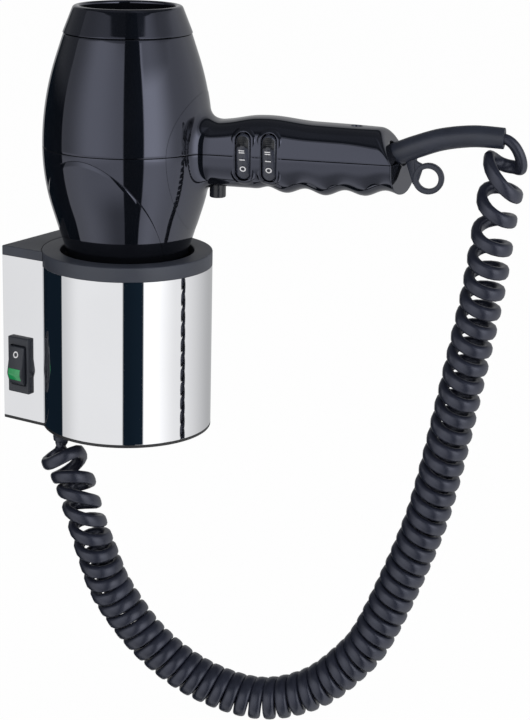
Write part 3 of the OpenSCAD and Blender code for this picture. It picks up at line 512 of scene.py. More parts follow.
def smoothed(values):
    """Values along the axis, with the kinks between the knots smoothed over a few millimetres."""
    half = 40
    kernel = np.hanning(2 * half + 1)
    before = 2 * values[0] - values[half:0:-1]
    after = 2 * values[-1] - values[-2:-half - 2:-1]
    return np.convolve(np.concatenate([before, values, after]), kernel / kernel.sum(), "valid")


def cord_axis():
    """Whole length of the spiral's axis, and lengths along it with their run and height."""
    knots = [(0, BOOT_Z), (0, BOOT_Z - STRAIGHT_DROP)]
    knots += [(p * tip_run, BOOT_Z - q * LOOP_DROP) for p, q in LEFT_LIMB]
    knots += [(p * tip_run, loop_z + q * climb) for p, q in RIGHT_LIMB]
    axis = smooth_line(knots, 60)
    reach = np.concatenate([[0], np.cumsum(np.linalg.norm(np.diff(axis, axis=0), axis=1))])
    fine = np.linspace(0, reach[-1] - AXIS_SHORT, 6000)
    run, rise = (smoothed(np.interp(fine, reach, axis[:, k])) for k in (0, 1))
    return reach[-1], fine, run, rise


def cord_pitch(fine, total):
    """Pitch along the axis: open under the gland, close in the loop, stretched toward the dryer."""
    pitch = np.interp(fine / total,
                      [0, 0.02, 0.04, 0.06, 0.08, 0.095, 0.11, 0.13, 0.16, 0.3, 0.6, 0.74, 0.83, 0.9],
                      [12.5, 11.2, 11.5, 12.1, 12.0, 11.3, 10.3, 9.3, 8.3, 7.7, 8.3, 9.6, 10.6, 11.2])
    left = fine[-1] - fine
    top = np.interp(left, [0, 10, 24, 38, 50, 62], [15.0, 16.5, 18.5, 14.0, 12.0, 11.2])
    return np.maximum(pitch, top * (left < 62))


def cord_tilt(done, turns, share):
    """How far each turn stands up on its right side and on its rear side."""
    # The first turn rises to its right, the next ones fall to it, and the last two lean over
    lean = np.interp(done, [1.2, 2.2, 3.2, 4.2, 5.2, 6.2, 7.2, 10], [2.4, -1.2, -2.8, -3.6, -3.2, -2, -1, 0])
    lean += LAST_LEAN * np.maximum(0, 1 - (turns - done) / 1.6) ** 1.3
    # The first turns tip backward, the next ones and those of the stretched limb forward
    tip_over = np.interp(share, [0.55, 0.75], [0, TIP_OVER])
    tip_over += np.interp(done, [3.2, 5, 6.5, 9, 13], [-3, 0.5, TIP_OVER, TIP_OVER, 0])
    return lean, tip_over


def cord_spiral():
    """The wire's middle line in the spiral, and its directions out from the axis."""
    total, fine, run, rise = cord_axis()
    theta = np.concatenate([[0], np.cumsum(2 * pi * np.diff(fine) / cord_pitch(fine, total)[1:])])
    # The wire starts behind the axis and ends on its left, as seen from the front
    turns = round(theta[-1] / (2 * pi) - LAST_PART) + LAST_PART
    theta *= 2 * pi * turns / theta[-1]
    count = int(turns * STEPS_PER_TURN) + 1
    grid_theta = np.linspace(0, theta[-1], count)
    angle = grid_theta - theta[-1]
    done = grid_theta / (2 * pi)
    spots = np.interp(grid_theta, theta, fine)
    lines = (run, rise, np.gradient(run, fine), np.gradient(rise, fine))
    cx, cz, tx, tz = (np.interp(spots, fine, line) for line in lines)
    norm = np.hypot(tx, tz)
    tx, tz = tx / norm, tz / norm
    # The turns are wider in the slack left limb than in the stretched right one
    wide = np.interp(spots / total, [0, 0.3, 0.75, 1], [9.8, 9.6, 9.3, 8.7])
    grown = np.array([ease((v - 0.42) / 0.34) for v in done])
    # In the plane of the cord the axis's own normal, and across it the plane's
    n1 = np.stack([-tz * along[0], -tz * along[1], tx], 1)
    n2 = np.tile([-along[1], along[0], 0.0], (count, 1))
    centre = np.stack([GLAND[0] + cx * along[0], GLAND[1] + cx * along[1], cz], 1)
    out = np.cos(angle)[:, None] * n1 + np.sin(angle)[:, None] * n2
    wire = centre + (wide * grown)[:, None] * out
    lean, tip_over = cord_tilt(done, turns, spots / total)
    wire[:, 2] += grown * (lean * np.cos(angle) + tip_over * np.sin(angle))
    # Past the last turn the wire swings behind the axis to the far side
    swing = np.radians(np.arange(18, 150, 18))
    level = np.cos(swing)[:, None] * n1[-1] + np.sin(swing)[:, None] * n2[-1]
    fall = np.array([1 - 1.3 * ease(v / radians(144)) for v in swing])
    far = centre[-1] + wide[-1] * level
    far[:, 2] += LAST_LEAN * np.cos(swing) * fall + TIP_OVER * np.sin(swing)
    return np.concatenate([wire, far]), np.concatenate([out, level])


def cord_lead(wire):
    """The wire's last stretch, which bends up into the sleeve's tip."""
    heading = wire[-1] - wire[-2]
    heading /= np.linalg.norm(heading)
    tip = SLEEVE_TIP - 1.5 * np.array([*along, 0])
    into = np.array([-along[0], -along[1], 0.02])
    gap = np.linalg.norm(tip - wire[-1])
    steps = 26
    u = np.arange(1, steps + 1)[:, None] / steps
    return ((2 * u ** 3 - 3 * u * u + 1) * wire[-1] + (u ** 3 - 2 * u * u + u) * heading * 0.85 * gap
            + (3 * u * u - 2 * u ** 3) * tip + (u ** 3 - u * u) * into * 1.35 * gap)


def cord_piece():
    wire, radial = cord_spiral()
    wire = np.concatenate([wire, cord_lead(wire)])
    tangent = np.gradient(wire, axis=0)
    tangent /= np.linalg.norm(tangent, axis=1)[:, None]
    up = []
    for i, forward in enumerate(tangent):
        guess = radial[i] if i < len(radial) else up[-1]
        guess = guess - forward * (guess @ forward)
        up.append(guess / np.linalg.norm(guess))
    up = np.array(up)
    across = np.cross(tangent, up)
    # Wire section: a flat oval
    ring = np.array([(bulge(cos(a), 0.72), bulge(sin(a), 0.72)) for a in around(14)])
    rows = wire[:, None] + ring[:, :1] * WIRE_THICK * up[:, None] + ring[:, 1:] * WIRE_WIDE * across[:, None]
    cord = Shape().closed(rows)
    cord = cord.piece("spiral_wire", "holder", "cord_jacket", ("spiral_cord", "cord_lead"), 60, ride=False)

    def spot(run, z):
        return tuple(MM * v for v in (*(GLAND + run * along), z))

    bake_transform(cord)


# Dryer housing
EGG_SIDE, EGG_UP, EGG_DOWN = radians(46), 32.0, 45.0
ROOT_END, FILLET, UNROLL_R = 62.0, 8.0, 47.0
GRIP_S, SCALLOP_PITCH = 92.0, 21.6
FIRST_KEY, KEY_PITCH = 70.4, 14.3
PILLS = (FIRST_KEY, FIRST_KEY + KEY_PITCH)
SLOT_W, SLOT_H = 8.4, 26.8
SCREW_S, SCREW_R = HANDLE_END - 24.5, 3.15
FINE_TO, TAIL_FROM = 95.0, 133.5
END_HOLE, END_HOLE_R = np.array((0.0, 3.9)), 6.6
GROOVE_PEAK, GROOVE_TOP, GROOVE_R, GROOVE_LOW = radians(106), 2.6, 84, 81.5
SEAM_EDGE = [(-2.2, 0.11), (-0.35, 0.11), (-0.1, 0.18), (-0.02, 0.32), (0, 0.5)]


def handle_above(s):
    """Height of the handle over the parting plane."""
    return 18.5 - 0.025 * (s - GRIP_S) - 3 * (1 - ease((s - 48) / 26)) + 1.5 * ease(1 - abs(s - 82) / 24)


def handle_below(s):
    """Depth of the handle under the parting plane, with the finger scallops."""
    scallop = 1.5 * ease((s - 72) / 12) * cos(2 * pi * (s - GRIP_S) / SCALLOP_PITCH)
    return 19.2 - 0.05 * max(0, s - GRIP_S - SCALLOP_PITCH) + scallop


def section_power(s, z):
    """Exponent of the handle's section: rounder below the parting plane and toward the end."""
    start, change = (2.8, 0.6) if z >= 0 else (2.45, 0.25)
    return start - change * ease((s - HANDLE_END) / 30 + 1)


def end_at(y, z):
    """Where the handle ends: a face that stands below the parting plane, and one that leans back above it."""
    if z < 0:
        return HANDLE_END + 1.9 + 0.25 * y + 0.034 * z
    return HANDLE_END - 0.6 + 0.1 * y - 0.5 * z + (2.5 + 0.15 * y) * (1 - ease(z / 6))


def handle_point(s, a, inset, lift):
    """Point of the handle's skin: a rounded box section that turns oval toward the end."""
    power = 2 / section_power(s, sin(a))
    tall = handle_above(s) if sin(a) >= 0 else handle_below(s)
    y = -bulge(cos(a), power) * (HANDLE_HALF - inset)
    return np.array((s, y, bulge(sin(a), power) * (tall - inset) + lift))


def half_columns(side):
    """Angle, inset and lift of a half's columns, with its edges rolled in at the parting plane."""
    edge = [(0, 1.2, 0.17), (0, 0.35, 0.17), (0, 0.12, 0.19), (0.05, 0.02, 0.17)]
    body = [0.5, 1.2, 2.2, 3.4, 5.0, *(6.5 + 1.5 * k for k in range(112)), 175.0, 176.6, 177.8, 178.8, 179.5]
    columns = edge + [(a, 0.0, 0.0) for a in body] + [(180 - a, i, l) for a, i, l in reversed(edge)]
    return [(side * radians(a), i, side * l) for a, i, l in columns]


def on_barrel(phi, t, out):
    r = barrel_at(t) + out
    return np.array((r * cos(phi), r * sin(phi), t))


def root_curve(a, inset, lift):
    """Points from the root's outline on the barrel, along the barrel, round a fillet, to the handle."""
    def skin(s):
        return handle_point(s, a, inset, lift)

    egg = np.array((-EGG_SIDE * cos(a), sin(a) * (EGG_UP if sin(a) >= 0 else EGG_DOWN) + lift))
    # Where the handle's skin would meet the barrel
    s = 46.0
    for _ in range(6):
        corner = skin(s)
        s = sqrt(max(1.0, (barrel_at(corner[2]) - inset) ** 2 - corner[1] ** 2))
    corner = skin(s)
    flat = np.array((UNROLL_R * np.arcsin(corner[1] / barrel_at(corner[2])), corner[2]))
    foot = flat * (1 + FILLET / np.linalg.norm(flat))
    foot[0] /= UNROLL_R
    rows = [on_barrel(*egg, -inset - 0.5)]
    rows += [on_barrel(*(egg + (foot - egg) * u), 0.16 - inset) for u in np.linspace(0, 1, 9)]
    start, end = rows[-1], skin(s + FILLET)
    rows += [bend(start, corner, end, u) for u in np.linspace(0, 1, 15)[1:]]
    return rows + [skin(t) for t in np.linspace(s + FILLET, ROOT_END, 6)[1:]]


def pill_distance(s, z, middle):
    """Distance outside the rocker's slot, negative inside it."""
    over = max(abs(z) - (SLOT_H - SLOT_W) / 2, 0.0)
    return sqrt((s - middle) ** 2 + over ** 2) - SLOT_W / 2


def handle_tail(a, inset, lift):
    """A line of points on to its own place on the end faces, rolled over their edge."""
    def skin(s, more=0.0):
        return handle_point(s, a, inset + more, lift)

    _, y, z = skin(HANDLE_END - 5)
    stop = end_at(y, z)
    roll = 0.8 + 3.0 * ease((z - 1) / 9)
    inner = skin(stop, 0.9 * roll)
    inner[0] = end_at(inner[1], inner[2])
    line = [skin(s) for s in np.linspace(TAIL_FROM, stop - roll, 13)[1:]]
    return line + [bend(line[-1], skin(stop), inner, u) for u in np.linspace(0, 1, 9)[1:]]


def end_face(edge, side):
    """Rows from the handle's edge over its end to the sunk floor round the sleeve."""
    steps = [(u, END_HOLE_R, 0) for u in (0, 0.06, 0.3, 0.6, 0.96)]
    for r, sink in ((END_HOLE_R, -0.12), (END_HOLE_R - 0.15, -0.4), (END_HOLE_R - 0.2, -1.6), (4.0, -1.6)):
        steps.append((1, r, sink))
    rows = []
    for u, r, sink in steps:
        rows.append([])
        for flat in edge[:, 1:]:
            toward = flat - END_HOLE
            rim = END_HOLE + toward / np.linalg.norm(toward) * r
            rim[1] = max(rim[1], 0.02) if side > 0 else min(rim[1], -0.02)
            q = flat + (rim - flat) * u
            rows[-1].append((end_at(*q) + sink, *q))
    return rows


def handle_mesh(shape, side):
    columns = half_columns(side)
    # Stations close together beside the slots, wider apart past them
    stations = [*np.arange(ROOT_END, FINE_TO, 0.6), *np.arange(FINE_TO + 0.4, TAIL_FROM + 0.1, 1.1)]
    rows = [[handle_point(s, *column) for column in columns] for s in stations]
    tail = np.transpose([handle_tail(*column) for column in columns], (1, 0, 2))
    rows = np.concatenate([rows, tail])
    # The rockers' slots and the screw's seat stay open
    keep = np.ones((len(rows) - 1, len(columns)), bool)
    middle = (rows[:-1, :-1] + rows[1:, 1:]) / 2
    for i, j in np.ndindex(middle.shape[:2]):
        x, y, z = middle[i, j]
        in_slot = y < 0 and any(pill_distance(x, z, m) < 0.45 for m in PILLS)
        in_seat = side > 0 and z > 10 and (x - SCREW_S) ** 2 + y * y < (SCREW_R + 0.3) ** 2
        keep[i, j] = not (in_slot or in_seat)
    shape.grid(in_dryer(rows), False, keep=keep)
    shape.grid(in_dryer(end_face(rows[-1], side)), False)
    root = np.transpose([root_curve(*column) for column in columns], (1, 0, 2))
    shape.grid(in_dryer(root), False)


def egg_keep(rows):
    """Faces of the barrel that don't lie well inside the root's outline."""
    keep = np.ones((rows.shape[0] - 1, rows.shape[1]), bool)
    middle = (rows[:-1] + np.roll(rows, -1, 1)[1:]) / 2
    phi = np.arctan2(middle[..., 1], middle[..., 0])
    t = middle[..., 2]
    tall = np.where(t >= 0, EGG_UP, EGG_DOWN)
    keep[(phi / EGG_SIDE) ** 2 + (t / tall) ** 2 < 0.86] = False
    return keep


def housing():
    phi = around(320)

    def half(rows, side, name):
        """Barrel from rows of (distance out, heights round it), with its half of the handle."""
        grid = np.array([[on_barrel(p, t, d) for p, t in zip(phi, heights)] for d, heights in rows])
        shape = Shape().grid(in_dryer(grid), keep=egg_keep(grid))
        handle_mesh(shape, side)
        shape.piece(name + "_skin", "dryer", "gloss_housing", (name,), 40)

    level = np.ones_like(phi)
    rows = SEAM_EDGE + [(0, t) for t in np.linspace(1.5, REAR_LEN - 0.8, 40)]
    rows += [(d, REAR_LEN - t) for d, t in ((-0.03, 0.4), (-0.12, 0.2), (-0.4, 0.08), (-2.2, 0.08))]
    half([(d, t * level) for d, t in rows], 1, "rear_housing")
    # Front barrel, with the two arched grooves that meet under the handle
    off = abs((phi + pi) % (2 * pi) - pi) - GROOVE_PEAK
    arch = np.maximum(-GROOVE_LOW, -(GROOVE_TOP + GROOVE_R * (1 - np.cos(off))))
    n = 26
    rows = [(d, -t * level) for d, t in SEAM_EDGE]
    rows += [(0, -0.5 + (arch + 0.2 + 0.5) * k / n) for k in range(1, n + 1)]
    rows += [(d, arch + step) for d, step in ((-0.04, 0.12), (-0.18, 0.0), (-0.04, -0.12))]
    rows += [(0, arch - 0.2 + (-FRONT_LEN + 0.4 - (arch - 0.2)) * k / n) for k in range(n + 1)]
    rows += [(d, (t - FRONT_LEN) * level) for d, t in ((-0.15, 0.1), (-0.5, 0.02), (-2.2, 0.02), (-2.3, 12))]
    half(rows, -1, "front_housing")


def intake():
    rear, outer = barrel_at(REAR_LEN), barrel_at(REAR_LEN + RING_LEN - 2)
    bore, spigot = outer - 5.0, rear - 2.35
    cone_low, cone_high = rear + 0.45, outer - 0.1
    profile = [(spigot, -4, 0), (spigot, 0.08, 0), (rear - 0.4, 0.08, 0.1), (cone_low, 0.3, 0.3),
               (0.9 * cone_low + 0.1 * cone_high, 1.51, 0),
               (0.1 * cone_low + 0.9 * cone_high, RING_LEN - 3.81, 0), (cone_high, RING_LEN - 2.6, 0.8),
               (outer - 1.2, RING_LEN, 2.2), (bore + 0.2, RING_LEN, 1.7), (bore + 0.3, RING_LEN - 4, 0.8),
               (bore + 2.4, -1.6, 0), (spigot - 2, -1.6, 0), (spigot - 2, -4, 0)]
    rows = revolve(looped(rounded(profile, 7)), 256, (0.0, -CUP_Y, SEAM_Z + REAR_LEN))
    Shape().grid(rows).piece("intake_cone", "dryer", "gloss_housing", ("intake_ring",), 40)


def section_share(share, power):
    """Share of a section's half size left at a share of its other half size."""
    return (1 - min(1.0, abs(share)) ** power) ** (1 / power)


def side_y(s, z):
    tall = handle_above(s) if z >= 0 else handle_below(s)
    return -HANDLE_HALF * section_share(z / tall, section_power(s, z))


def handle_top(s, y):
    return handle_above(s) * section_share(y / HANDLE_HALF, section_power(s, 1))


def pill_outline(w, h, n):
    """Closed pill outline as (s, z) points, counter-clockwise, evenly spaced by angle on its ends."""
    out = []
    for start, middle in ((0, (h - w) / 2), (pi, (w - h) / 2)):
        out += [(w / 2 * cos(a), middle + w / 2 * sin(a)) for a in np.linspace(start, start + pi, n // 2)]
    return np.array(out)


# Rocker bezels on the handle's left side: a raised lip round each slot
def bezel(name, node_name, middle):
    rows = []
    for grow, lift in ((0.0, -7.5), (0.0, 0.3), (0.1, 0.52), (0.3, 0.64), (0.6, 0.68), (1.1, 0.66),
                       (1.6, 0.54), (2.0, 0.32), (2.4, 0.12), (2.8, -0.2)):
        ring = pill_outline(SLOT_W + 2 * grow, SLOT_H + 2 * grow, 72)
        rows.append([(middle + s, side_y(middle + s, z) - lift, z) for s, z in ring])
    Shape().grid(in_dryer(rows), first=True).piece(name, "dryer", "gloss_housing", (node_name,), 50)


KEY_W, KEY_H, KEY_TILT = 8.0, 25.4, radians(9)
KEY_FOOT, KEY_CREST, KEY_HOLLOW = 2.4, 6.2, 4.8
RIDGE_EASE, RIB_PITCH = 0.45, 0.95
PIVOT_DEEP = 4.0


def key_ridge(x):
    """Height of the plate's round top."""
    return KEY_H / 4 + 0.9 - 0.22 * x * x


def key_face(x, z):
    """How far a rocker's face stands out of its pivot: a plate with a round top, and the hollow above it."""
    half, crest = KEY_H / 2, KEY_H / 4
    out = KEY_FOOT + (KEY_CREST - KEY_FOOT) * (z + half) / (crest + half)
    beyond = z - key_ridge(x)
    if beyond > 0:
        out -= KEY_HOLLOW * min(1.0, beyond / (half - crest)) ** 0.5
    return out


def key_height(x, z):
    """The face, with its ridge eased."""
    return float(np.mean([key_face(x, z + d) for d in np.linspace(-RIDGE_EASE, RIDGE_EASE, 7)]))


def key_to_dryer(middle, x, out, z):
    """A rocker's own frame, tilted at rest, to the dryer's frame."""
    c, s = cos(KEY_TILT), sin(KEY_TILT)
    return (middle + x, -out * c - z * s + PIVOT_DEEP - HANDLE_HALF, -out * s + z * c)


def rocker(name, body, middle):
    def on_key(x, z, lift):
        return key_to_dryer(middle, x, key_height(x, z) + lift, z)

    n = 96
    rows = [[key_to_dryer(middle, x, 0.2, z) for x, z in pill_outline(KEY_W, KEY_H, n)]]
    for inset, drop in ((0.0, 0.9), (0.07, 0.5), (0.25, 0.22), (0.5, 0.08), (0.85, 0.0), (1.6, 0.0),
                        (2.4, 0.0), (3.1, 0.0), (3.6, 0.0)):
        rows.append([on_key(x, z, -drop) for x, z in pill_outline(KEY_W - 2 * inset, KEY_H - 2 * inset, n)])
    shape = Shape().grid(in_dryer(rows), first=True)
    # Close the face along its middle line, side to side
    base = len(shape.points) - n
    for k in range(n // 2 - 1):
        shape.faces.append((base + k, base + k + 1, base + n - 2 - k, base + n - 1 - k))
    shape.piece(name, body, "rocker_plastic", (body,), 40)
    # Ribbed sheet over the hollow, coloured dark as painted shade of the recess
    rows = []
    for v in np.linspace(0, 1, 49):
        rows.append([])
        for x in np.linspace(-3.2, 3.2, 17):
            top = (KEY_H - KEY_W) / 2 + sqrt((KEY_W / 2 - 0.55) ** 2 - x * x)
            low = key_ridge(x) + RIDGE_EASE
            z = low + v * (top - low)
            rows[-1].append(on_key(x, z, 0.06 + 0.12 * (1 + cos(2 * pi * z / RIB_PITCH))))
    Shape().grid(in_dryer(rows), False).piece(name + "_ribs", body, "rocker_plastic", (), 60, ribbed_hollow_painted_shade)
    # White marks for the three settings
    marks = Shape()
    for z in (4.2 - 0.62, 4.2 + 0.62, -0.7):
        strip = [[on_key(x, z + w, 0.04) for w in (-0.3, 0.3)] for x in np.linspace(-1.55, 1.55, 7)]
        marks.grid(in_dryer(strip), False)
    rings = [[on_key(r * 1.1 * cos(a), -6.2 + r * sin(a), 0.04) for a in around(36)] for r in (0.95, 1.6)]
    marks.grid(in_dryer(rings))
    marks.piece(name + "_marks", body, "rocker_plastic", (), 60, white_print)


def screw_rows(n, rings, recess):
    """A screw from its shank, by rings of (radius, height), into its cross by (reach, half width, height)."""
    rows = [[(r * cos(q), r * sin(q), z) for q in around(n)] for r, z in rings]
    for reach, half, z in recess:
        rows.append([])
        for q in around(n):
            short, long = sorted((abs(cos(q)), abs(sin(q))))
            r = min(reach / long, half / max(short, 1e-6))
            rows[-1].append((r * cos(q), r * sin(q), z))
    return np.array(rows)


def screw():
    """Sunk seat in the handle's top, and the cross-slotted head in it."""
    rows = []
    for r, lift in ((3.05, -3.1), (3.05, -0.2), (3.2, 0.0), (3.5, 0.04), (4.0, 0.03), (4.3, -0.2)):
        ring = [(SCREW_S + r * cos(t), r * sin(t)) for t in around(48)]
        rows.append([(s, y, handle_top(s, y) + lift) for s, y in ring])
    Shape().grid(in_dryer(rows), first=True).piece("screw_seat", "dryer", "gloss_housing", (), 40)
    rows = screw_rows(96, ((1.5, -14), (1.5, 0.05), (2.9, 0.05), (2.95, 1.2), (2.7, 1.75), (2.1, 1.95)),
                      ((1.75, 0.42, 2.0), (1.6, 0.32, 1.2), (0.6, 0.3, 0.7)))
    head = Shape().closed(in_dryer(rows + (SCREW_S, 0, handle_above(SCREW_S) - 3.2)))
    head.piece("handle_screw_head", "dryer", "screw_steel", ("handle_screw",), 30)


def button():
    low, seat = -25.98, -16.85
    profile = rounded([(0.0, low + 0.35, 0), (1.9, low + 0.35, 0.3), (2.4, low, 0.3), (4.5, low, 0.9),
                       (4.5, seat, 0), (5.7, seat, 0.2), (5.7, seat + 1.5, 0.2), (0.0, seat + 1.5, 0)], 5)
    rows = in_dryer(revolve(profile, 64, (BUTTON_S, 0, 0)))
    Shape().grid(rows).piece("push_cap", "push_button", "grille_plastic", ("push_button",), 40)


def spring():
    """Return spring over the button."""
    low, high, r, thick, turns = -15.2, -9.2, 3.2, 0.4, 4
    room = thick + 0.02
    rows = []
    for t in np.linspace(0, 2 * pi * turns, 20 * turns + 1):
        z = low + room + (high - low - 2 * room) * t / (2 * pi * turns)
        ring = [(r + thick * cos(a), z + thick * sin(a)) for a in around(10)]
        rows.append([(BUTTON_S + out * cos(t), out * sin(t), up) for out, up in ring])
    coil = Shape().closed(in_dryer(rows))
    coil = coil.piece("return_spring", "dryer", "spring_steel", ("button_spring",), 50, ride=False)
    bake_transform(coil)


# Bend sleeve with the hanging eye
def sleeve():
    knots = [(-10, 0), (-2, 3.8), (9, 8.5), (22, 12.9), (38, 15.3), (54, 15)]
    line = smooth_line(knots, 26)
    line[:, 0] += HANDLE_END
    step = np.gradient(line, axis=0)
    step /= np.linalg.norm(step, axis=1)[:, None]
    last = len(line) - 1

    def ring(i, r, shift=0.0):
        s, z = line[i] + step[i] * shift
        return [(s - r * cos(t) * step[i][1], r * sin(t), z + r * cos(t) * step[i][0]) for t in around(40)]

    def radius(i):
        full = 6.45 - 0.85 * i / last
        return full - 0.7 * (1 - ease((line[i][0] - HANDLE_END + 3.9) / 0.9))

    rows = [ring(i, radius(i)) for i in range(last)]
    for r, shift in ((5.6, -0.35), (5.53, -0.12), (5.3, 0.0), (3.9, 0.0), (3.5, -0.2), (3.4, -3.0)):
        rows.append(ring(last, r, shift))
    shape = Shape().closed(in_dryer(rows))
    # Eye: a ring of rounded section
    eye_s, eye_z = HANDLE_END + 15, -8.6
    section = rounded([(5.52, -1.98, 0.7), (8.38, -1.98, 0.9), (8.38, 1.98, 0.9), (5.52, 1.98, 0.7)], 4, True)
    rows = [[(eye_s + r * cos(t), y, eye_z + r * sin(t)) for t in around(80)] for r, y in looped(section)]
    shape.grid(in_dryer(rows))
    # Tab that carries the eye: it widens from the ring's side to its root in the sleeve
    tab = rounded([(-8.1, -3.2, 0.3), (-6.0, -4.5, 0.3), (-3.0, 5.7, 0.5), (-3.2, 7.5, 1.2),
                   (-7.0, 8.9, 2.2), (-7.6, 12, 0.3), (-13.4, 12, 0.3)], 4, True)
    rows = layers(tab, ((1.7, 0.5), (1.6, 0.2), (1.3, 0.0))) + (eye_s, 0, eye_z)
    shape.closed(in_dryer(rows))
    shape.piece("bend_sleeve_skin", "dryer", "soft_rubber", ("bend_sleeve",), 45)


# Holder
def gland():
    profile = rounded([(3.2, -6, 0), (3.2, -10, 0.3), (4.6, -10, 0.5), (5.0, -7.2, 0.3), (4.7, -6.9, 0.2),
                       (4.8, -6.2, 0.2), (5.5, -5.9, 0.3), (5.9, -3.4, 0.3), (5.5, -3.1, 0.2),
                       (5.6, -2.4, 0.2), (6.3, -2.1, 0.3), (6.5, 0.02, 0), (5.0, 0.02, 0), (5.0, BASE_T, 0),
                       (8.0, BASE_T, 0), (8.0, BASE_T + 2.5, 0.4), (3.2, BASE_T + 2.5, 0)], 4)
    rows = revolve(profile, 64, (*GLAND, BASE_Z))
    Shape().grid(rows).piece("gland_boot", "holder", "soft_rubber", ("cord_gland",), 40)


def collar():
    low, inner, outer = 0.02 - COLLAR_H, MOUTH_R + FLANGE_T, HOLDER_R - FLANGE_T
    profile = rounded([(MOUTH_R, -LINER_DEPTH, 0.3), (inner, -LINER_DEPTH, 0.2), (inner, -FLANGE_T, 0),
                       (outer, -FLANGE_T, 0), (outer, low, 0.1), (HOLDER_R, low, 0.18),
                       (HOLDER_R, 0, 0.9), (MOUTH_R, 0, 1.0)], 6, True)
    rows = revolve(looped(profile), 288, (0.0, -CUP_Y, TOP_Z))
    Shape().grid(rows).piece("collar_band", "holder", "anthracite", ("collar_ring",), 35)


def arc(r, start, end, n):
    return [(r * cos(radians(a)), -CUP_Y + r * sin(radians(a))) for a in np.linspace(start, end, n)]


def box_side(r):
    """Azimuth at which a circle round the cup meets the box's left side."""
    return np.degrees(atan2(sqrt(r * r - BOX_HALF ** 2), -BOX_HALF))


def cover():
    r = HOLDER_R + 0.15
    side = box_side(r)
    plan = np.array([(BOX_HALF, 0), (-BOX_HALF, 0)] + arc(r, side, 180 - side, 61))
    shape = slab(plan, TOP_Z - COVER_T + 0.05, TOP_Z, 0.15, 0.5)
    shape.piece("box_cover", "holder", "anthracite", ("top_cover",), 35)


def base():
    side = box_side(HOLDER_R)
    plan = np.array([(BOX_HALF, 0), (-BOX_HALF, 0)] + arc(HOLDER_R, side, 540 - side, 181))
    slab(plan, BASE_Z, SHELL_Z, 0.6, 0.1).piece("base_sheet", "holder", "dark_base", ("base_plate",), 35)


# Power switch on the box's left side: its middle, and the hole for it
SWITCH_Y, SWITCH_Z = -12.8, -17.0
HOLE_W, HOLE_H = 12.5, 30.1
KEY_OUT = 3.6


def chrome():
    """Polished wrap: two flat sides of the box and the round front between them."""
    side = box_side(HOLDER_R)
    corner_y = -CUP_Y + sqrt(HOLDER_R ** 2 - BOX_HALF ** 2)

    def levels(top):
        """Inset and height of the wrap's rows, with its edges rolled in."""
        roll = [(1.5, 0.03), (0.12, 0.03), (0.04, 0.06), (0.0, 0.14)]
        plain = [(0.0, z) for z in np.linspace(SHELL_Z + 3, top - 3, 12)]
        return [(i, SHELL_Z + d) for i, d in roll] + plain + [(i, top - d) for i, d in reversed(roll)]

    rows = [[(x, y, z) for x, y in arc(HOLDER_R - inset, side, 540 - side, 241)]
            for inset, z in levels(TOP_Z - COLLAR_H)]
    shape = Shape().grid(rows, False)
    hole_y = {SWITCH_Y - HOLE_W / 2, SWITCH_Y + HOLE_W / 2}
    hole_z = [(0.0, SWITCH_Z - HOLE_H / 2), (0.0, SWITCH_Z + HOLE_H / 2)]
    ys = sorted({-0.03, -RIM_T, corner_y} | hole_y | set(np.linspace(-2.5, corner_y + 0.5, 10)))
    rolls = sorted(levels(TOP_Z - COVER_T) + hole_z, key=lambda v: (v[1], -v[0] if v[1] < 0 else v[0]))
    for sign in (-1, 1):
        rows = np.array([[(sign * (BOX_HALF + 0.03 - inset), y, z) for y in ys] for inset, z in rolls])
        keep = np.ones((len(rows) - 1, len(ys)), bool)
        if sign < 0:
            middle = (rows[:-1, :-1, 1:] + rows[1:, 1:, 1:]) / 2
            inside = abs(middle - (SWITCH_Y, SWITCH_Z)) < (HOLE_W / 2, HOLE_H / 2)
            keep[:, :-1] = ~inside.all(-1)
        shape.grid(rows, False, keep=keep)
    shape.piece("chrome_wrap", "holder", "chrome_shell", ("holder_shell",), 25)


def at_switch(points):
    """Points given out of the box's side, along it and up, in the frame of the part."""
    x, y, z = np.moveaxis(np.asarray(points, float), -1, 0)
    return np.stack([-BOX_HALF - x, SWITCH_Y + y, SWITCH_Z + z], -1)


def switch_frames(sizes):
    """Upright frames given by width, height, corner and distance out."""
    rows = []
    for w, h, r, x in sizes:
        corners = [(w / 2, -h / 2, r), (w / 2, h / 2, r), (-w / 2, h / 2, r), (-w / 2, -h / 2, r)]
        rows.append([(x, y, z) for y, z in rounded(corners, 5, True)])
    return at_switch(rows)


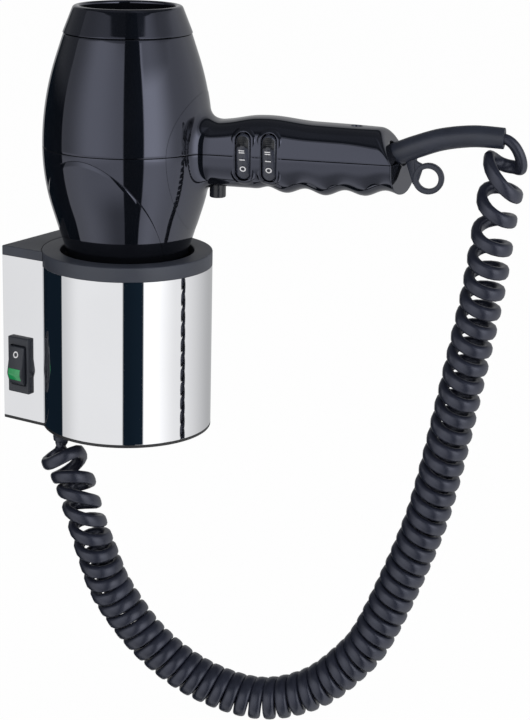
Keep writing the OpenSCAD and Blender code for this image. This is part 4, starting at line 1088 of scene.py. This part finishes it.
def power_switch():
    bezel_rows = switch_frames((
        (15, 32.6, 0.7, 0.02), (15, 32.6, 0.7, 2.0), (14.9, 32.5, 0.7, 2.2), (13.9, 31.5, 0.7, 2.62),
        (13.6, 31.2, 0.7, 2.7), (11.8, 24.1, 1.3, 2.7), (11.4, 23.7, 1.2, 2.58), (11.2, 23.46, 1.1, 2.3),
        (11.2, 23.46, 1.1, -5.0)))
    shape = Shape().grid(bezel_rows, last=True)
    # Body behind the box's side, and the snap wedge at the bezel's edge
    shape.closed(switch_frames(((12.2, 29.8, 0.5, -14.9), (12.2, 29.8, 0.5, 0.05))))
    wedge = [[(0.1, -7.4, -6.4), (0.1, -7.4, -3.2), (2.1, -7.4, -3.2), (2.1, -7.4, -6.4)],
             [(0.3, -8.5, -5.3), (0.3, -8.5, -4.3), (1.2, -8.5, -4.3), (1.2, -8.5, -5.3)]]
    shape.closed(at_switch(wedge))
    shape.piece("power_bezel", "holder", "switch_plastic", ("power_switch_body",), 30)
    # Rocker and the lens over its ridge: rounded side outlines, rounded again at both ends
    key = rounded([(-5.5, -5.6, 0.5), (-2, -11.2, 0.6), (0, -11.2, 0.6), (1.2, -10.0, 1.0), (3.3, -4.7, 1.6),
                   (0.3, 11.2, 0.7), (-2, 11.2, 0.6), (-5.5, 5.6, 0.5)], 6, True)
    rows = layers(key, ((5.1, 0.6), (5.0, 0.28), (4.8, 0.08), (4.5, 0.0))) + (KEY_OUT, 0, 0)
    shape = Shape().closed(at_switch(rows))
    shape.piece("power_key", "power_rocker", "switch_plastic", ("power_rocker",), 35)
    lens = rounded([(0.4, -8.2, 0), (1.95, -8.2, 0.25), (3.52, -4.7, 0.9), (2.85, -1.3, 0.3), (0.4, -1.3, 0)],
                   5, True)
    rows = layers(lens, ((4.25, 0.3), (4.15, 0.08), (3.95, 0.0))) + (KEY_OUT, 0, 0)
    shape = Shape().closed(at_switch(rows))
    shape.piece("power_window", "power_rocker", "green_lens", ("power_lens",), 35)
    # Ring mark on the rocker's long face
    rows = []
    for r in (1.15, 1.9):
        ring = [(r * 0.95 * cos(a), 6.7 + r * sin(a)) for a in around(40)]
        rows.append([(KEY_OUT + 3.3 - 3.0 * (z + 4.7) / 15.9 + 0.05, y, z) for y, z in ring])
    Shape().grid(at_switch(rows)).piece("power_mark", "power_rocker", "switch_plastic", (), 60, white_print)


def cup():
    nozzle = barrel_at(-FRONT_LEN)
    ledge, well, flange = nozzle + 4, nozzle - 2.2 - 1.5, HOLDER_R - 2.55
    ledge_z, well_z, top = 24.2, -1.8, TOP_Z - LINER_DEPTH
    profile = rounded([(well, well_z, 0), (well + 2, well_z, 0), (well + 2, ledge_z - 2, 0.8),
                       (ledge + 2, ledge_z - 2, 0.8), (MOUTH_R + 2, top - 2, 0.5), (flange, top - 2, 0),
                       (flange, top - 0.05, 0), (MOUTH_R, top - 0.05, 0.4), (ledge, ledge_z, 1.2),
                       (well, ledge_z, 0.6)], 5, True)
    rows = revolve(looped(profile), 192)
    Shape().grid(rows).piece("cup_liner", "holder", "cup_plastic", ("inner_cup",), 35)


def base_screw_heads():
    rows = screw_rows(72, ((1.5, 11.8), (1.5, 0.0), (2.9, 0.0), (2.95, -0.7), (2.6, -1.3), (2.1, -1.55)),
                      ((1.7, 0.42, -1.58), (1.5, 0.32, -0.9), (0.6, 0.3, -0.5)))
    screw_x, screw_y = 26.5, -8.0
    shape = Shape()
    for side in (-1, 1):
        shape.closed(rows + (side * screw_x, screw_y, BASE_Z))
    shape.piece("base_screw_heads", "holder", "screw_steel", ("base_screws",), 30)


cord_piece()
housing()
intake()
bezel("fan_bezel", "fan_switch_body", PILLS[0])
bezel("heat_bezel", "heat_switch_body", PILLS[1])
rocker("fan_key", "fan_rocker", PILLS[0])
rocker("heat_key", "heat_rocker", PILLS[1])
for build in (screw, button, spring, sleeve, gland, collar, cover, base, chrome, power_switch, cup,
              base_screw_heads):
    build()

# The solids that stay in view take the finish of their slot
for part in frame["record"]["subparts"]:
    mesh = frame["nodes"][part["node"]].data
    mesh.materials.clear()
    mesh.materials.append(SLOTS[part["material_slot"]])
